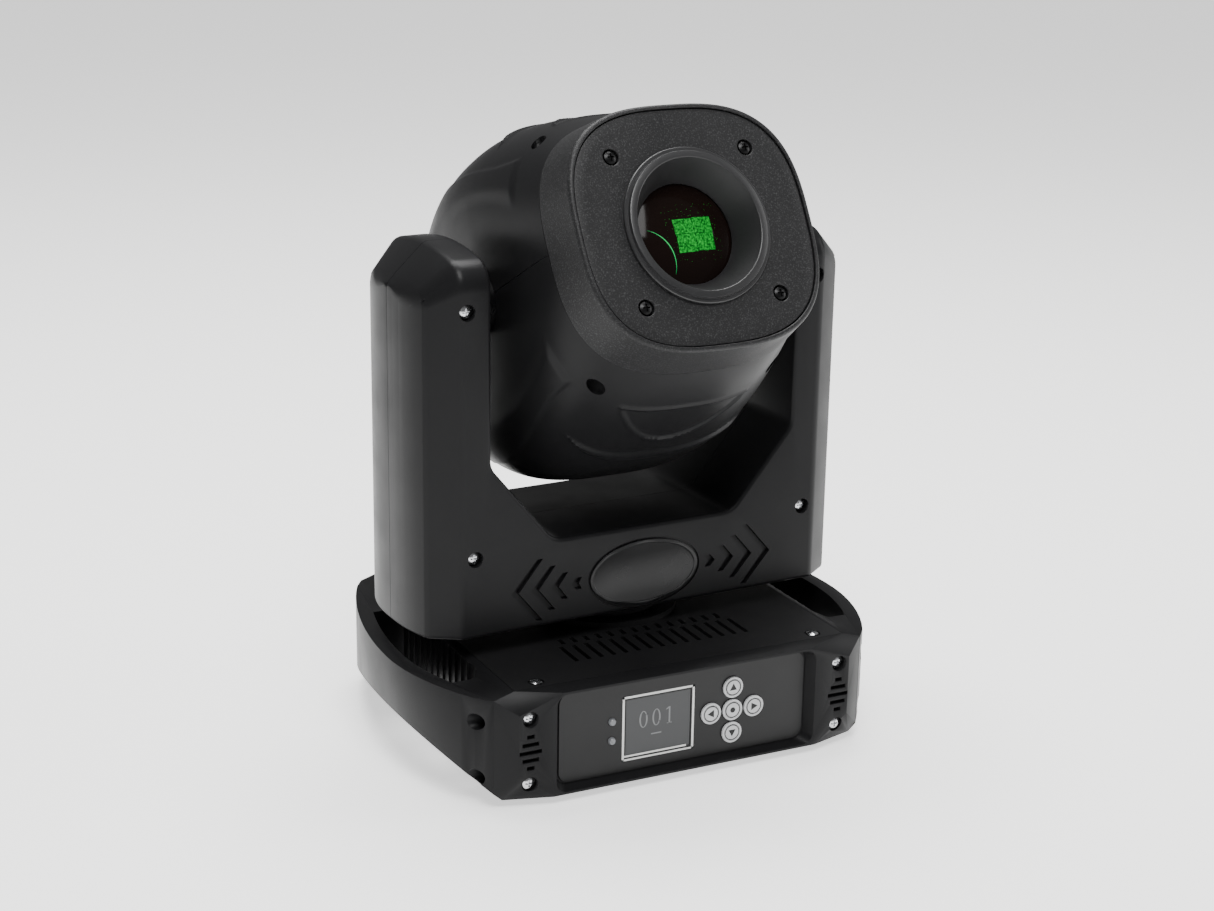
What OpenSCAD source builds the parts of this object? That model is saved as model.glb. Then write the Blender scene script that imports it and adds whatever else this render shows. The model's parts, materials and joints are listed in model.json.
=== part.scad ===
// Compact moving head spot light: base with carrying grips, turning yoke, tilting head.
// Origin: middle of the base underside, on the pan axis; the feet reach below it.
// +Z is the pan axis, the display faces -Y.

/* [Base case] */
// Width of the base case between its side seams
case_w = 215; // [195:1:260]
// Depth of the base case between its front and rear seams
case_d = 190; // [165:1:230]
// Height of the base case above its feet
case_h = 58.5; // [52:0.5:75]
// Height of the rubber feet
foot_h = 4.5; // [3:0.5:14]
// Radius of the rubber feet
foot_r = 7.5; // [5:0.5:10]
// Wall of the moulded covers
wall = 2.5; // [2:0.1:3.2]
// Sheet of the steel tray and frames
sheet = 1.8; // [1.2:0.1:2.5]
// Thickness of the front and rear end panels outside the seams
panel_t = 7.3; // [6:0.1:9]
// Width of the sloping shoulder beside the flat top cover
shoulder_w = 11; // [8:0.5:16]
// Drop of the shoulder from the top cover to the grip
shoulder_drop = 3.5; // [2:0.5:6]
// Bevel of the long bottom corners
corner_cut = 4.5; // [1:0.5:6]
// Width of a vent slot in the top cover
vent_w = 2.4; // [1.6:0.1:3]
// Length of a vent slot in the top cover
vent_l = 21; // [12:1:25]
// Distance between vent slots
vent_pitch = 7.2; // [5:0.1:9]

/* [Carrying grips] */
// How far a grip stands out beyond the side seam
grip_out = 27.5; // [24:0.5:40]
// Thickness of the grip band
grip_t = 8.5; // [6:0.5:11]
// Distance of the grip opening from the front seam
grip_front = 31; // [24:1:45]
// Distance of the grip opening from the rear seam
grip_rear = 50; // [30:1:60]
// Ribs on the inner wall of each grip opening
grip_ribs = 12; // [6:1:16]

/* [Control panel] */
// Half width of the panel recess at its mouth
recess_half = 76; // [66:0.5:78]
// Depth of the panel recess
recess_d = 7; // [5:0.1:7.2]
// Slope of the recess sides, as the inset of the floor
recess_draft = 3; // [2:0.5:9]
// Thickness of the printed overlay
overlay_t = 0.8; // [0.5:0.1:1.2]
// Width of the display window
window_w = 38; // [30:1:42]
// Height of the display window
window_h = 32; // [24:1:34]
// Centre of the display left of the middle
window_x = -15; // [-24:1:-12]
// Radius of the push buttons
button_r = 5.8; // [4.5:0.05:6]
// Distance from the middle button to each of the others
button_pitch = 12.8; // [12.5:0.1:13.5]
// Centre of the button cross right of the middle
button_x = 28.6; // [26:0.1:36]
// Travel of a push button
button_travel = 0.5; // [0.3:0.1:0.6]
// How far a button cap stands out of the overlay
button_out = 1.5; // [1:0.1:2]
// Radius of the status lamps
lamp_r = 2.1; // [1.5:0.1:2.6]

/* [Rear sockets] */
// Width of the mains inlet mouth
inlet_w = 24.4; // [24:0.1:25]
// Height of the mains inlet mouth
inlet_h = 17; // [16.5:0.1:18]
// Depth of the mains inlet mouth
inlet_d = 16; // [15:0.5:18]
// Radius of the round data socket mouth
data_r = 9.2; // [9:0.1:9.8]
// Depth of the round data socket mouth
data_d = 14; // [12:0.5:16]

/* [Pan axis] */
// Angle that the yoke stands turned on the base
pan_rest = 2.5; // [-20:0.5:20]
// Radius of the hollow pan post
post_r = 14; // [12:0.5:17]
// Radius of the cable passage in the post
post_bore_r = 10; // [6:0.5:10]
// Radius of the neck under the yoke
neck_r = 30; // [26:1:36]
// Running clearance of every turning shaft, on the radius
run_gap = 0.05; // [0.02:0.01:0.08]
// Gap between a belt and its pulleys
belt_gap = 0.15; // [0.1:0.05:0.3]
// Radius of the fixed pan pulley
pan_pulley_r = 26; // [22:1:30]
// Radius of the motor pulleys
motor_pulley_r = 8; // [6:0.5:9]
// Distance of the pan motor from the pan axis
pan_motor_x = 62; // [56:1:64]

/* [Yoke] */
// Gap between the base top and the yoke
yoke_gap = 11.5; // [9:0.5:15]
// Half depth of the yoke across its front and rear faces
yoke_half_d = 44.5; // [42:0.5:54]
// Distance from the middle to the outer edge of the flat front face
yoke_face_x = 107; // [105.5:0.5:112]
// Distance from the middle to the side panel edge
yoke_side_x = 122.5; // [120:0.5:130]
// Bulge of the side panel beyond its edges
yoke_bulge = 5.5; // [2:0.5:7]
// Half depth of the side panel
yoke_side_d = 34; // [31:0.5:38]
// Distance from the middle to the inner face of an arm
arm_x = 90.5; // [88:0.5:93]
// Height of the crossbar from the yoke underside
crossbar_h = 47; // [46:0.5:60]
// Height of the tilt axis above the crossbar
tilt_above = 119; // [118:0.5:145]
// Height of the arm tops above the tilt axis
arm_above = 35; // [33:0.5:45]
// Drop of the side panel top below the arm top
arm_drop = 14.5; // [10:0.5:18]
// Radius of the arm top corners
arm_corner_r = 16; // [8:1:20]
// Half width of the flat crossbar floor
floor_half = 54; // [48:1:60]
// Height of the sloping throat wall
throat_h = 43.5; // [35:0.5:50]
// Half width of the oval badge
badge_a = 32.8; // [25:0.1:34]
// Half height of the oval badge
badge_b = 18.2; // [12:0.1:18.5]

/* [Head] */
// Lens elevation above the horizon in the rest pose
tilt_rest = 29.5; // [0:0.5:60]
// Distance from the tilt axis to the front face
face_l = 102.5; // [92:0.5:104]
// Half width of the front face
face_a = 67; // [60:0.5:70]
// Half height of the front face
face_b = 64; // [56:0.5:66]
// Length of the front band
band_l = 27; // [18:0.5:34]
// Outward flare of the front band
band_flare = 3.5; // [1:0.5:5]
// Half width of the head body
body_a = 75; // [73:0.5:77]
// Half height of the head body at its fullest
body_b = 93.5; // [80:0.5:96]
// Distance from the tilt axis back to the rear cap seam
body_back = 92; // [86:0.5:93]
// Depth of the rear cap
cap_l = 9; // [5:0.5:10]
// Radius of the lens collar
collar_r = 40.5; // [38:0.5:44]
// Radius of the collar mouth
mouth_r = 34.5; // [30:0.5:36]
// Height of the collar above the face
collar_out = 3; // [1:0.5:4]
// Radius of the front lens
lens_r = 27; // [22:0.5:29]
// Distance of the lens rim behind the face
lens_in = 14; // [8:0.5:18]
// Radius of a tilt hub shaft
hub_r = 12; // [9:0.5:13]
// Radius of the tilt pulley
tilt_pulley_r = 22; // [18:1:26]

/* [Optics] */
// Radius of the colour and gobo wheels
wheel_r = 35; // [30:0.5:36]
// Radius of the circle of wheel windows
window_circle_r = 26; // [22:0.5:27]
// Radius of one wheel window
wheel_window_r = 7.5; // [5:0.5:8]
// Travel of the focus carriage to each side
focus_travel = 8; // [4:0.5:8]
// Radius of the focus rods
rod_r = 2.5; // [2:0.1:3]
// Radius of the fan blades
fan_r = 27; // [22:0.5:28]

/* [Fasteners] */
// Radius of a screw head
head_screw_r = 3.25; // [2.5:0.05:3.5]
// Height of a screw head
head_screw_h = 2.2; // [1.6:0.1:2.6]
// Radius of a screw shank
shank_r = 1.6; // [1.2:0.05:1.9]
// Radius of a counterbore
counter_r = 4.3; // [3.8:0.1:4.6]
// Clearance of a screw shank in its hole, on the radius
shank_gap = 0.2; // [0.1:0.05:0.4]
// Half spacing of the bracket bolt pattern under the base, across
bracket_x = 53; // [40:1:60]
// Half spacing of the bracket bolt pattern under the base, front to back
bracket_y = 32.5; // [25:0.5:40]
// Radius of a bracket bolt hole
bracket_r = 3.2; // [2.5:0.1:4.2]

/* [Hidden] */
$fn = 48;

black = "#232323";
dark = "#1b1b1b";
steel = "#9a9da0";
silver = "#d4d6d8";
board = "#1f5a37";

// Clearance where two pieces only lie side by side
fit = 0.2;

// Base heights and half sizes
case_x = case_w / 2;
case_y = case_d / 2;
base_z = 0;
top_z = base_z + case_h;
cover_x = case_x - shoulder_w;
front_y = -case_y - panel_t;
floor_y = front_y + recess_d;
panel_mid = base_z + case_h * 0.46;
// Octagon of the panel face: how far its corners are cut back
face_cut_top = [24.3, 8.5];
face_cut_low = [19.5, 15];
face_inset = 10.8;
face_edge = 2.2;
// Panel screws sit this far inside the face corners
panel_screw_x = case_x - 17;
panel_screw_z = case_h * 0.304;
screw_seat_y = front_y + 4;
// Lip around the recess mouth and its floor
lip = 1.3;
floor_rise = 1.2;
slot_len = [4.2, 9.2, 12.4, 9.2, 4.2];
slot_pitch = 4.3;
slot_w = 2.2;
// Screws of the top cover and of the grips
cover_screw_x = cover_x - 15;
cover_screw_y = case_y - 6.7;
grip_screw_y = case_y - 8;
grip_screw_z = case_h * 0.26;
grip_seat_x = cover_x + 7.5;
foot_x = cover_x - 20.5;
foot_y = case_y - 10;
grip_steps = 24;

// Rear sockets stand in a row
inlet_x = -56;
input_x = 12;
output_x = 52;
rear_recess = 3;
rear_floor_y = case_y + panel_t - rear_recess;
flange_t = 1.6;
socket_wall = 1.6;

// Pan axis levels, from the yoke underside upwards
yoke_z = top_z + yoke_gap;
floor_z = yoke_z + crossbar_h;
tilt_z = floor_z + tilt_above;
arm_top = tilt_z + arm_above;
neck_gap = 1;
flange_r = neck_r + 10;
plate_z = yoke_z + wall + 1;
bush_r = post_r + 5;
bush_h = 12;
pan_motor_h = 20;
motor_half = 17.5;
motor_shaft_r = 2.5;
pulley_w = 8;
belt_w = 6;
belt_t = 1.5;
pan_pulley_z = plate_z + sheet + pan_motor_h + 1;

// Arm profile, frame plates and tilt axis stations
frame_x = arm_x + wall + 1.5;
frame_half_y = 28;
bush_l = 8;
tilt_bush_r = hub_r + 5;
boss_r = hub_r + 4.5;
tilt_pulley_x = frame_x + bush_l + 2;
tilt_motor_z = plate_z + sheet + motor_half + 1;
yoke_screw_z = [floor_z - 3.9, tilt_z + 6.7];
yoke_screw_x = [yoke_face_x - 7.4, yoke_face_x - 3.3];
seat_y = yoke_half_d - 4;
badge_z = yoke_z + crossbar_h * 0.44;
badge_t = 1;
chevron_tip = [79.3, 67.6, 55.9, 44.1];
chevron_rise = [17.1, 12.2, 7.3, 3.3];
chevron_w = 3.4;

// Head stations along the lens axis, measured forward from the tilt axis
seam_l = face_l - band_l;
head_steps = 28;
head_wall = 2.5;
cap_ratio = 0.8;
face_rim = 2;
face_screw = 38.5;
face_plate_t = 3;
plate_l = face_l - 0.8;
lens_l = face_l - lens_in;
frame_side_x = body_a - 10.5;
frame_half_u = 28;
frame_l = [-27, 64];
led_l = frame_l[0] + sheet;
condenser_l = led_l + 4;
colour_l = 12;
gobo_l = 22;
focus_l = 46;
rod_x = 30;
rod_l = 34;
heatsink_l = frame_l[0] - 2;
fin_d = 32;
fan_l = heatsink_l - fin_d - 17;
fan_half = 30;
fan_hub_r = 11;

// Superellipse point at angle t for half sizes a, b and power n
function rounded_point(a, b, n, t) =
  [a * sign(cos(t)) * pow(abs(cos(t)), 2 / n), b * sign(sin(t)) * pow(abs(sin(t)), 2 / n)];
function rounded_box(a, b, n, steps) =
  [for (i = [0 : steps - 1]) rounded_point(a, b, n, (i + 0.5) * 360 / steps)];
function oval(a, b, steps) =
  [for (i = [0 : steps - 1]) [a * cos(i * 360 / steps), b * sin(i * 360 / steps)]];
// Half height of the head body at distance l in front of the tilt axis
function body_height(l) = l > -20
  ? body_b - (body_b - face_b - band_flare) * pow((l + 20) / (seam_l + 20), 1.9)
  : body_b - (body_b - body_b * 0.73) * pow((-20 - l) / (body_back - 20), 2.6);
// Half width of the head body at distance l in front of the tilt axis
function body_width(l) = l > 0
  ? body_a - (body_a - face_a - band_flare) * pow(l / seam_l, 1.6)
  : body_a - body_a * 0.12 * pow(-l / body_back, 2.6);
function body_power(l) = 3.1 - 0.3 * l / body_back;
// Outline of the grip in plan, from the front seam to the rear seam
grip_peak = case_d * 0.09;
function grip_x(y) = grip_out * pow(max(0, cos(90 * (y + grip_peak) /
  (y < -grip_peak ? case_y - grip_peak : case_y + grip_peak))), 0.75);
function grip_edge(inset, y0, y1) =
  [for (i = [0 : grip_steps]) let (y = y0 + (y1 - y0) * i / grip_steps)
    [case_x + grip_x(y) - inset, y]];

// Extrude an x-z outline along Y between two depths
module along_y(y0, y1) {
  translate([0, y1, 0]) rotate([90, 0, 0]) linear_extrude(y1 - y0) children();
}
// Extrude a y-z outline along X between two widths
module along_x(x0, x1) {
  translate([x0, 0, 0]) rotate([90, 0, 90]) linear_extrude(x1 - x0) children();
}
module mirror_x() {
  children();
  mirror([1, 0, 0]) children();
}
module on_yoke() {
  rotate([0, 0, pan_rest]) children();
}
// In the head, -Y is forward along the lens axis and Z is up in the head
module in_head() {
  on_yoke() translate([0, 0, tilt_z]) rotate([-tilt_rest, 0, 0]) children();
}
// Turned piece on the lens axis: its own +Z looks forward, l is measured from the tilt axis
module on_lens_axis(l) {
  translate([0, -l, 0]) rotate([90, 0, 0]) children();
}

// Pan head screw, axis +Z, seat at z = 0
module screw(len) {
  difference() {
    union() {
      intersection() {
        cylinder(r = head_screw_r, h = head_screw_h);
        translate([0, 0, head_screw_h - head_screw_r * 1.9]) sphere(r = head_screw_r * 1.9);
      }
      translate([0, 0, -len]) cylinder(r = shank_r, h = len);
    }
    for (a = [0, 90]) rotate([0, 0, a])
      translate([-head_screw_r * 0.6, -head_screw_r * 0.13, head_screw_h * 0.45])
        cube([head_screw_r * 1.2, head_screw_r * 0.26, head_screw_h]);
  }
}
// Counterbore and shank hole, axis +Z, seat at z = 0
module screw_hole(depth, len) {
  cylinder(r = counter_r, h = depth);
  translate([0, 0, -len]) cylinder(r = shank_r + shank_gap, h = len + 1);
}

// ---------- Base ----------

module case_octagon() {
  x = case_x - face_inset;
  z0 = base_z;
  z1 = top_z - face_edge;
  polygon([[-x, z0 + face_cut_low[1]], [-x + face_cut_low[0], z0], [x - face_cut_low[0], z0],
    [x, z0 + face_cut_low[1]], [x, z1 - face_cut_top[1]], [x - face_cut_top[0], z1],
    [-x + face_cut_top[0], z1], [-x, z1 - face_cut_top[1]]]);
}
module case_section() {
  polygon([[-case_x, base_z + corner_cut], [-case_x + corner_cut, base_z],
    [case_x - corner_cut, base_z], [case_x, base_z + corner_cut],
    [case_x, top_z - shoulder_drop], [cover_x, top_z], [-cover_x, top_z],
    [-case_x, top_z - shoulder_drop]]);
}
module recess_outline(inset_x, inset_z) {
  x = recess_half - inset_x;
  z0 = base_z + lip + inset_z;
  z1 = top_z - face_edge - lip - inset_z;
  translate([-x + 6, z0 + 6]) offset(r = 6, $fn = 24) square([2 * x - 12, z1 - z0 - 12]);
}
// End panel block with its cut corners, seen from the front, with the inner plate behind it
module panel_block() {
  skin_t = 0.01;
  hull() {
    along_y(-case_y - skin_t, -case_y) case_section();
    along_y(front_y, front_y + skin_t) case_octagon();
  }
  translate([-cover_x + fit, -case_y, base_z])
    cube([2 * (cover_x - fit), wall, case_h - wall - fit]);
}
// Positions of the four screws of an end panel, children face -Y
module panel_screws_at(y) {
  for (x = [-panel_screw_x, panel_screw_x], z = [-panel_screw_z, panel_screw_z])
    translate([x, y, panel_mid + z]) rotate([90, 0, 0]) children();
}
module grille_slots() {
  for (x = [-panel_screw_x, panel_screw_x], i = [0 : 4])
    translate([x, front_y + 3, panel_mid + (2 - i) * slot_pitch]) rotate([90, 0, 0])
      linear_extrude(8) square([slot_len[i], slot_w], center = true);
}
module button_places() {
  translate([button_x, 0, panel_mid]) children();
}
function button_shift(name) = name == "up" ? [0, button_pitch] : name == "down" ? [0, -button_pitch]
  : name == "left" ? [-button_pitch, 0] : name == "right" ? [button_pitch, 0] : [0, 0];
button_names = ["up", "down", "left", "right", "ok"];
module at_button(name) {
  s = button_shift(name);
  button_places() translate([s[0], 0, s[1]]) children();
}
lamp_x = window_x - window_w / 2 - 8;
lamp_z = [5.5, -5.1];
stem_r = 2.6;

module chassis_tray() {
  ear_x = recess_half + 2;
  side_h = case_h - sheet - 8;
  color(steel) difference() {
    union() {
      translate([-cover_x + fit, -case_y + wall + fit, base_z])
        cube([2 * (cover_x - fit), case_d - 2 * (wall + fit), sheet]);
      mirror_x() translate([cover_x - fit - sheet, -case_y + wall + fit, base_z])
        cube([sheet, case_d - 2 * (wall + fit), side_h]);
      for (m = [0, 1]) mirror([0, m, 0]) mirror_x()
        translate([ear_x, -case_y + wall + fit, base_z])
          cube([cover_x - fit - ear_x, sheet, side_h]);
      for (x = [-cover_screw_x, cover_screw_x], y = [-cover_screw_y, cover_screw_y])
        translate([x, y, base_z]) cylinder(r = 4, h = case_h - wall - fit);
    }
    for (x = [-bracket_x, bracket_x], y = [-bracket_y, bracket_y])
      translate([x, y, base_z - 1]) cylinder(r = bracket_r, h = sheet + 2);
    for (x = [-foot_x, foot_x], y = [-foot_y, foot_y])
      translate([x, y, base_z - 1]) cylinder(r = shank_r + shank_gap, h = sheet + 2);
    translate([0, case_y - 22, base_z - 1]) cylinder(r = 5, h = sheet + 2);
    for (x = [-cover_screw_x, cover_screw_x], y = [-cover_screw_y, cover_screw_y])
      translate([x, y, top_z - wall - 10]) cylinder(r = shank_r + shank_gap, h = 12);
    for (m = [0, 1]) mirror([0, m, 0]) panel_screws_at(-case_y + wall + 3)
      cylinder(r = shank_r + shank_gap, h = 6);
    for (m = [0, 1], n = [0, 1], z = [-1, 1]) mirror([0, n, 0]) mirror([m, 0, 0])
      translate([cover_x - 8, -grip_screw_y, panel_mid + z * grip_screw_z])
        rotate([0, 90, 0]) cylinder(r = shank_r + shank_gap, h = 12);
    for (i = [-5 : 5]) translate([i * 10 - 1.5, -18, base_z - 1]) cube([3, 36, sheet + 2]);
  }
}

module base_cover() {
  rows = 7;
  color(dark) difference() {
    translate([-cover_x + fit, -case_y + fit, top_z - wall])
      cube([2 * (cover_x - fit), case_d - 2 * fit, wall]);
    translate([0, 0, top_z - wall - 1]) cylinder(r = post_r + fit, h = wall + 2);
    for (i = [-rows : rows])
      translate([i * vent_pitch - vent_w / 2, -case_y + 23, top_z - wall - 1])
        cube([vent_w, vent_l, wall + 2]);
    for (i = [-rows : rows - 1])
      translate([(i + 0.5) * vent_pitch - vent_w / 2, -case_y + 26 + vent_l, top_z - wall - 1])
        cube([vent_w, vent_l / 3, wall + 2]);
    for (x = [-cover_screw_x, cover_screw_x], y = [-cover_screw_y, cover_screw_y])
      translate([x, y, top_z - 1.2]) screw_hole(3, wall);
  }
}

module front_bezel() {
  open_w = window_w + 2;
  open_h = window_h + 2;
  color(black) difference() {
    panel_block();
    hull() {
      along_y(front_y - 0.02, front_y - 0.01) recess_outline(0, 0);
      along_y(floor_y - 0.01, floor_y) recess_outline(recess_draft, floor_rise);
    }
    panel_screws_at(screw_seat_y) screw_hole(12, 12);
    grille_slots();
    translate([window_x - open_w / 2, floor_y - 1, panel_mid - open_h / 2])
      cube([open_w, 8, open_h]);
    for (name = button_names) at_button(name) translate([0, floor_y + 8, 0])
      rotate([90, 0, 0]) cylinder(r = stem_r + fit, h = 12);
    for (z = lamp_z) translate([lamp_x, floor_y + 8, panel_mid + z])
      rotate([90, 0, 0]) cylinder(r = lamp_r + fit, h = 12);
  }
}

module rear_panel() {
  flip = 180;
  color(black) difference() {
    rotate([0, 0, flip]) panel_block();
    rotate([0, 0, flip]) panel_screws_at(screw_seat_y) screw_hole(12, 12);
    rotate([0, 0, flip]) grille_slots();
    translate([-recess_half + 2, rear_floor_y, base_z + 10])
      cube([2 * recess_half - 4, rear_recess + 1, case_h - 20]);
    translate([inlet_x, case_y, panel_mid]) cube([inlet_w + 4, 30, inlet_h + 4], center = true);
    for (x = [input_x, output_x]) translate([x, case_y + 15, panel_mid]) rotate([90, 0, 0])
      cylinder(r = data_r + socket_wall + fit, h = 30);
  }
}

module handle() {
  inner_x = cover_x + wall + 2;
  y0 = -case_y + grip_front;
  y1 = case_y - grip_rear;
  rib_pitch = (y1 - y0 - 8) / grip_ribs;
  low = base_z + corner_cut;
  color(black) difference() {
    translate([0, 0, base_z]) linear_extrude(case_h)
      polygon(concat([[cover_x, -case_y], [case_x, -case_y]],
        grip_edge(0, -case_y + 0.1, case_y - 0.1), [[case_x, case_y], [cover_x, case_y]]));
    // finger opening, straight through from top to bottom
    translate([0, 0, base_z - 1]) linear_extrude(case_h + 2) difference() {
      polygon(concat([[inner_x, y0 + 7], [inner_x + 4, y0]],
        grip_edge(grip_t, y0, y1), [[inner_x, y1]]));
      for (i = [1 : grip_ribs - 1]) translate([inner_x - 1, y0 + 8 + i * rib_pitch])
        square([1.8, 1.2]);
    }
    // shoulder slope and flat top of the grip
    along_y(-case_y - 1, case_y + 1)
      polygon([[cover_x, top_z], [case_x, top_z - shoulder_drop],
        [case_x + grip_out + 1, top_z - shoulder_drop], [case_x + grip_out + 1, top_z + 1],
        [cover_x, top_z + 1]]);
    // underside rises outwards
    along_y(-case_y - 1, case_y + 1)
      polygon([[case_x - corner_cut - 1, base_z - 1], [case_x + grip_out + 1, base_z - 1],
        [case_x + grip_out + 1, (low + grip_out) * 0.9]]);
    // hollow ends
    for (m = [0, 1]) mirror([0, m, 0]) {
      depth = (m == 0 ? grip_front : grip_rear) - 2 * wall - 14;
      translate([cover_x - 1, -case_y + wall + 12, base_z + wall + 4])
        cube([grip_seat_x - cover_x - 2, depth, case_h - 2 * wall - 12]);
      for (z = [-1, 1]) translate([grip_seat_x, -grip_screw_y, panel_mid + z * grip_screw_z])
        rotate([0, 90, 0]) screw_hole(40, 12);
    }
  }
}
module left_handle() {
  mirror([1, 0, 0]) handle();
}
module right_handle() {
  handle();
}

module display_overlay() {
  color("#1d1d1e") difference() {
    intersection() {
      along_y(floor_y - overlay_t, floor_y) recess_outline(recess_draft + 1, floor_rise + 1);
      translate([-case_x, floor_y - 5, base_z]) cube([case_w, 10, case_h]);
    }
    translate([window_x - window_w / 2, floor_y - 2, panel_mid - window_h / 2])
      cube([window_w, 4, window_h]);
    for (name = button_names) at_button(name) translate([0, floor_y + 1, 0])
      rotate([90, 0, 0]) cylinder(r = button_r + fit, h = 4);
    for (z = lamp_z) translate([lamp_x, floor_y + 1, panel_mid + z])
      rotate([90, 0, 0]) cylinder(r = lamp_r + fit, h = 4);
  }
}

board_y = floor_y + 9;
module display_module() {
  back_y = -case_y + wall + fit;
  color("#6b6e70") union() {
    translate([window_x - window_w / 2 + fit, floor_y - overlay_t + 0.3, panel_mid - window_h / 2 + fit])
      cube([window_w - 2 * fit, 3, window_h - 2 * fit]);
    translate([window_x - window_w / 2 - 2, back_y, panel_mid - window_h / 2 - 2])
      cube([window_w + 4, board_y - back_y, window_h + 4]);
    translate([window_x - window_w / 2 + 2, floor_y, panel_mid - window_h / 2 + 2])
      cube([window_w - 4, back_y - floor_y + 1, window_h - 4]);
  }
}
module status_lamps() {
  color("#b9bcc0") for (z = lamp_z) translate([lamp_x, 0, panel_mid + z]) union() {
    translate([0, board_y, 0]) rotate([90, 0, 0])
      cylinder(r = lamp_r, h = board_y - floor_y + overlay_t);
    translate([0, floor_y - overlay_t, 0]) intersection() {
      sphere(r = lamp_r);
      translate([-lamp_r, -lamp_r * 0.7, -lamp_r]) cube([2 * lamp_r, lamp_r * 0.7, 2 * lamp_r]);
    }
  }
}
module control_board() {
  gap = 0.1;
  color(board) union() {
    translate([-recess_half + 12, board_y, base_z + 8]) cube([2 * recess_half - 24, 1.6, case_h - 20]);
    for (name = button_names) at_button(name) translate([-3, board_y - 2.2, -3]) cube([6, 2.2, 6]);
    for (name = button_names) at_button(name) translate([0, board_y - 2.1, 0])
      rotate([90, 0, 0]) cylinder(r = 1.6, h = 0.5 - gap);
    translate([-40, board_y + 1.5, base_z + 12]) cube([18, 6, 8]);
  }
}
module button(name) {
  color(silver) at_button(name) union() {
    translate([0, floor_y - overlay_t + 0.1, 0]) rotate([90, 0, 0]) difference() {
      cylinder(r = button_r, h = button_out - 0.1);
      translate([0, 0, button_out - 0.4]) difference() {
        cylinder(r = button_r - 1.1, h = 1);
        translate([0, 0, -1]) cylinder(r = button_r - 1.7, h = 3);
      }
    }
    translate([0, board_y - 2.6 - button_travel, 0]) rotate([90, 0, 0])
      cylinder(r = stem_r, h = board_y - 2.6 - button_travel - floor_y + overlay_t + 0.2);
  }
}
module button_up() {
  button("up");
}
module button_down() {
  button("down");
}
module button_left() {
  button("left");
}
module button_right() {
  button("right");
}
module button_ok() {
  button("ok");
}

module power_supply() {
  w = 70;
  d = 84;
  z = base_z + sheet;
  color("#3c6b4a") translate([-cover_x + 12, -d / 2 + 12, z]) union() {
    for (x = [4, w - 4], y = [4, d - 4]) translate([x, y, 0]) cylinder(r = 3, h = 6);
    translate([0, 0, 5]) cube([w, d, 1.6]);
    translate([8, 26, 6]) cube([26, 28, 24]);
    translate([40, 10, 6]) cube([5, 60, 22]);
    for (y = [16, 66]) translate([22, y, 6]) cylinder(r = 7.5, h = 26);
    translate([52, 14, 6]) cube([12, 18, 14]);
    translate([54, 44, 6]) cylinder(r = 6, h = 18);
  }
}
module rubber_feet() {
  color("#151515") for (x = [-foot_x, foot_x], y = [-foot_y, foot_y]) translate([x, y, -foot_h])
    rotate_extrude() polygon([[0, foot_h * 0.55], [foot_r * 0.55, foot_h * 0.55],
      [foot_r * 0.55, 0], [foot_r * 0.85, 0], [foot_r, 1.5], [foot_r, foot_h],
      [shank_r, foot_h], [shank_r, foot_h + sheet + 2], [0, foot_h + sheet + 2]]);
}
module mains_inlet() {
  y = rear_floor_y;
  back = y - inlet_d - socket_wall;
  color("#161616") difference() {
    union() {
      translate([inlet_x - inlet_w / 2 - 5, y, panel_mid - inlet_h / 2 - 5])
        cube([inlet_w + 10, flange_t, inlet_h + 10]);
      translate([inlet_x - inlet_w / 2 - socket_wall, back, panel_mid - inlet_h / 2 - socket_wall])
        cube([inlet_w + 2 * socket_wall, y - back + 1, inlet_h + 2 * socket_wall]);
    }
    translate([inlet_x - inlet_w / 2, y - inlet_d, panel_mid - inlet_h / 2])
      cube([inlet_w, inlet_d + 5, inlet_h]);
  }
  color(steel) for (p = [[-7, 2], [0, -2], [7, 2]])
    translate([inlet_x + p[0] - 1, back + 0.5, panel_mid - p[1] - 2]) cube([2, inlet_d * 0.8, 4]);
}
module data_socket(x) {
  y = rear_floor_y;
  back = y - data_d - socket_wall;
  color("#161616") difference() {
    union() {
      translate([x - 13, y, panel_mid - 15.5]) cube([26, flange_t, 31]);
      translate([x, y + 1, panel_mid]) rotate([90, 0, 0])
        cylinder(r = data_r + socket_wall, h = y + 1 - back);
    }
    translate([x, y + 5, panel_mid]) rotate([90, 0, 0]) cylinder(r = data_r, h = data_d + 5);
    for (s = [-1, 1]) translate([x + s * 9.5, y + 5, panel_mid + s * 12]) rotate([90, 0, 0])
      cylinder(r = 1.6, h = 10);
  }
}
module dmx_input() {
  pin_l = data_d * 0.8;
  back = rear_floor_y - data_d - socket_wall;
  data_socket(input_x);
  color(steel) for (a = [90, 210, 330]) translate([input_x + 4 * cos(a), back + 0.5 + pin_l,
    panel_mid + 4 * sin(a)]) rotate([90, 0, 0]) cylinder(r = 1.2, h = pin_l);
}
module dmx_output() {
  core_gap = 1.8;
  back = rear_floor_y - data_d - socket_wall;
  data_socket(output_x);
  color("#161616") difference() {
    translate([output_x, rear_floor_y - 1, panel_mid]) rotate([90, 0, 0])
      cylinder(r = data_r - core_gap, h = rear_floor_y - 1 - back);
    for (a = [90, 210, 330]) translate([output_x + 4 * cos(a), rear_floor_y + 1,
      panel_mid + 4 * sin(a)]) rotate([90, 0, 0]) cylinder(r = 1.3, h = 9);
  }
}
module base_screws() {
  color(steel) {
    for (a = [0, 180]) rotate([0, 0, a]) panel_screws_at(screw_seat_y) screw(10);
    for (x = [-cover_screw_x, cover_screw_x], y = [-cover_screw_y, cover_screw_y])
      translate([x, y, top_z - 1.2]) screw(8);
  }
}
module handle_screws() {
  color("#2b2b2b") for (m = [0, 1], n = [0, 1], z = [-1, 1]) mirror([m, 0, 0]) mirror([0, n, 0])
    translate([grip_seat_x, -grip_screw_y, panel_mid + z * grip_screw_z])
      rotate([0, 90, 0]) screw(10);
}
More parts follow.
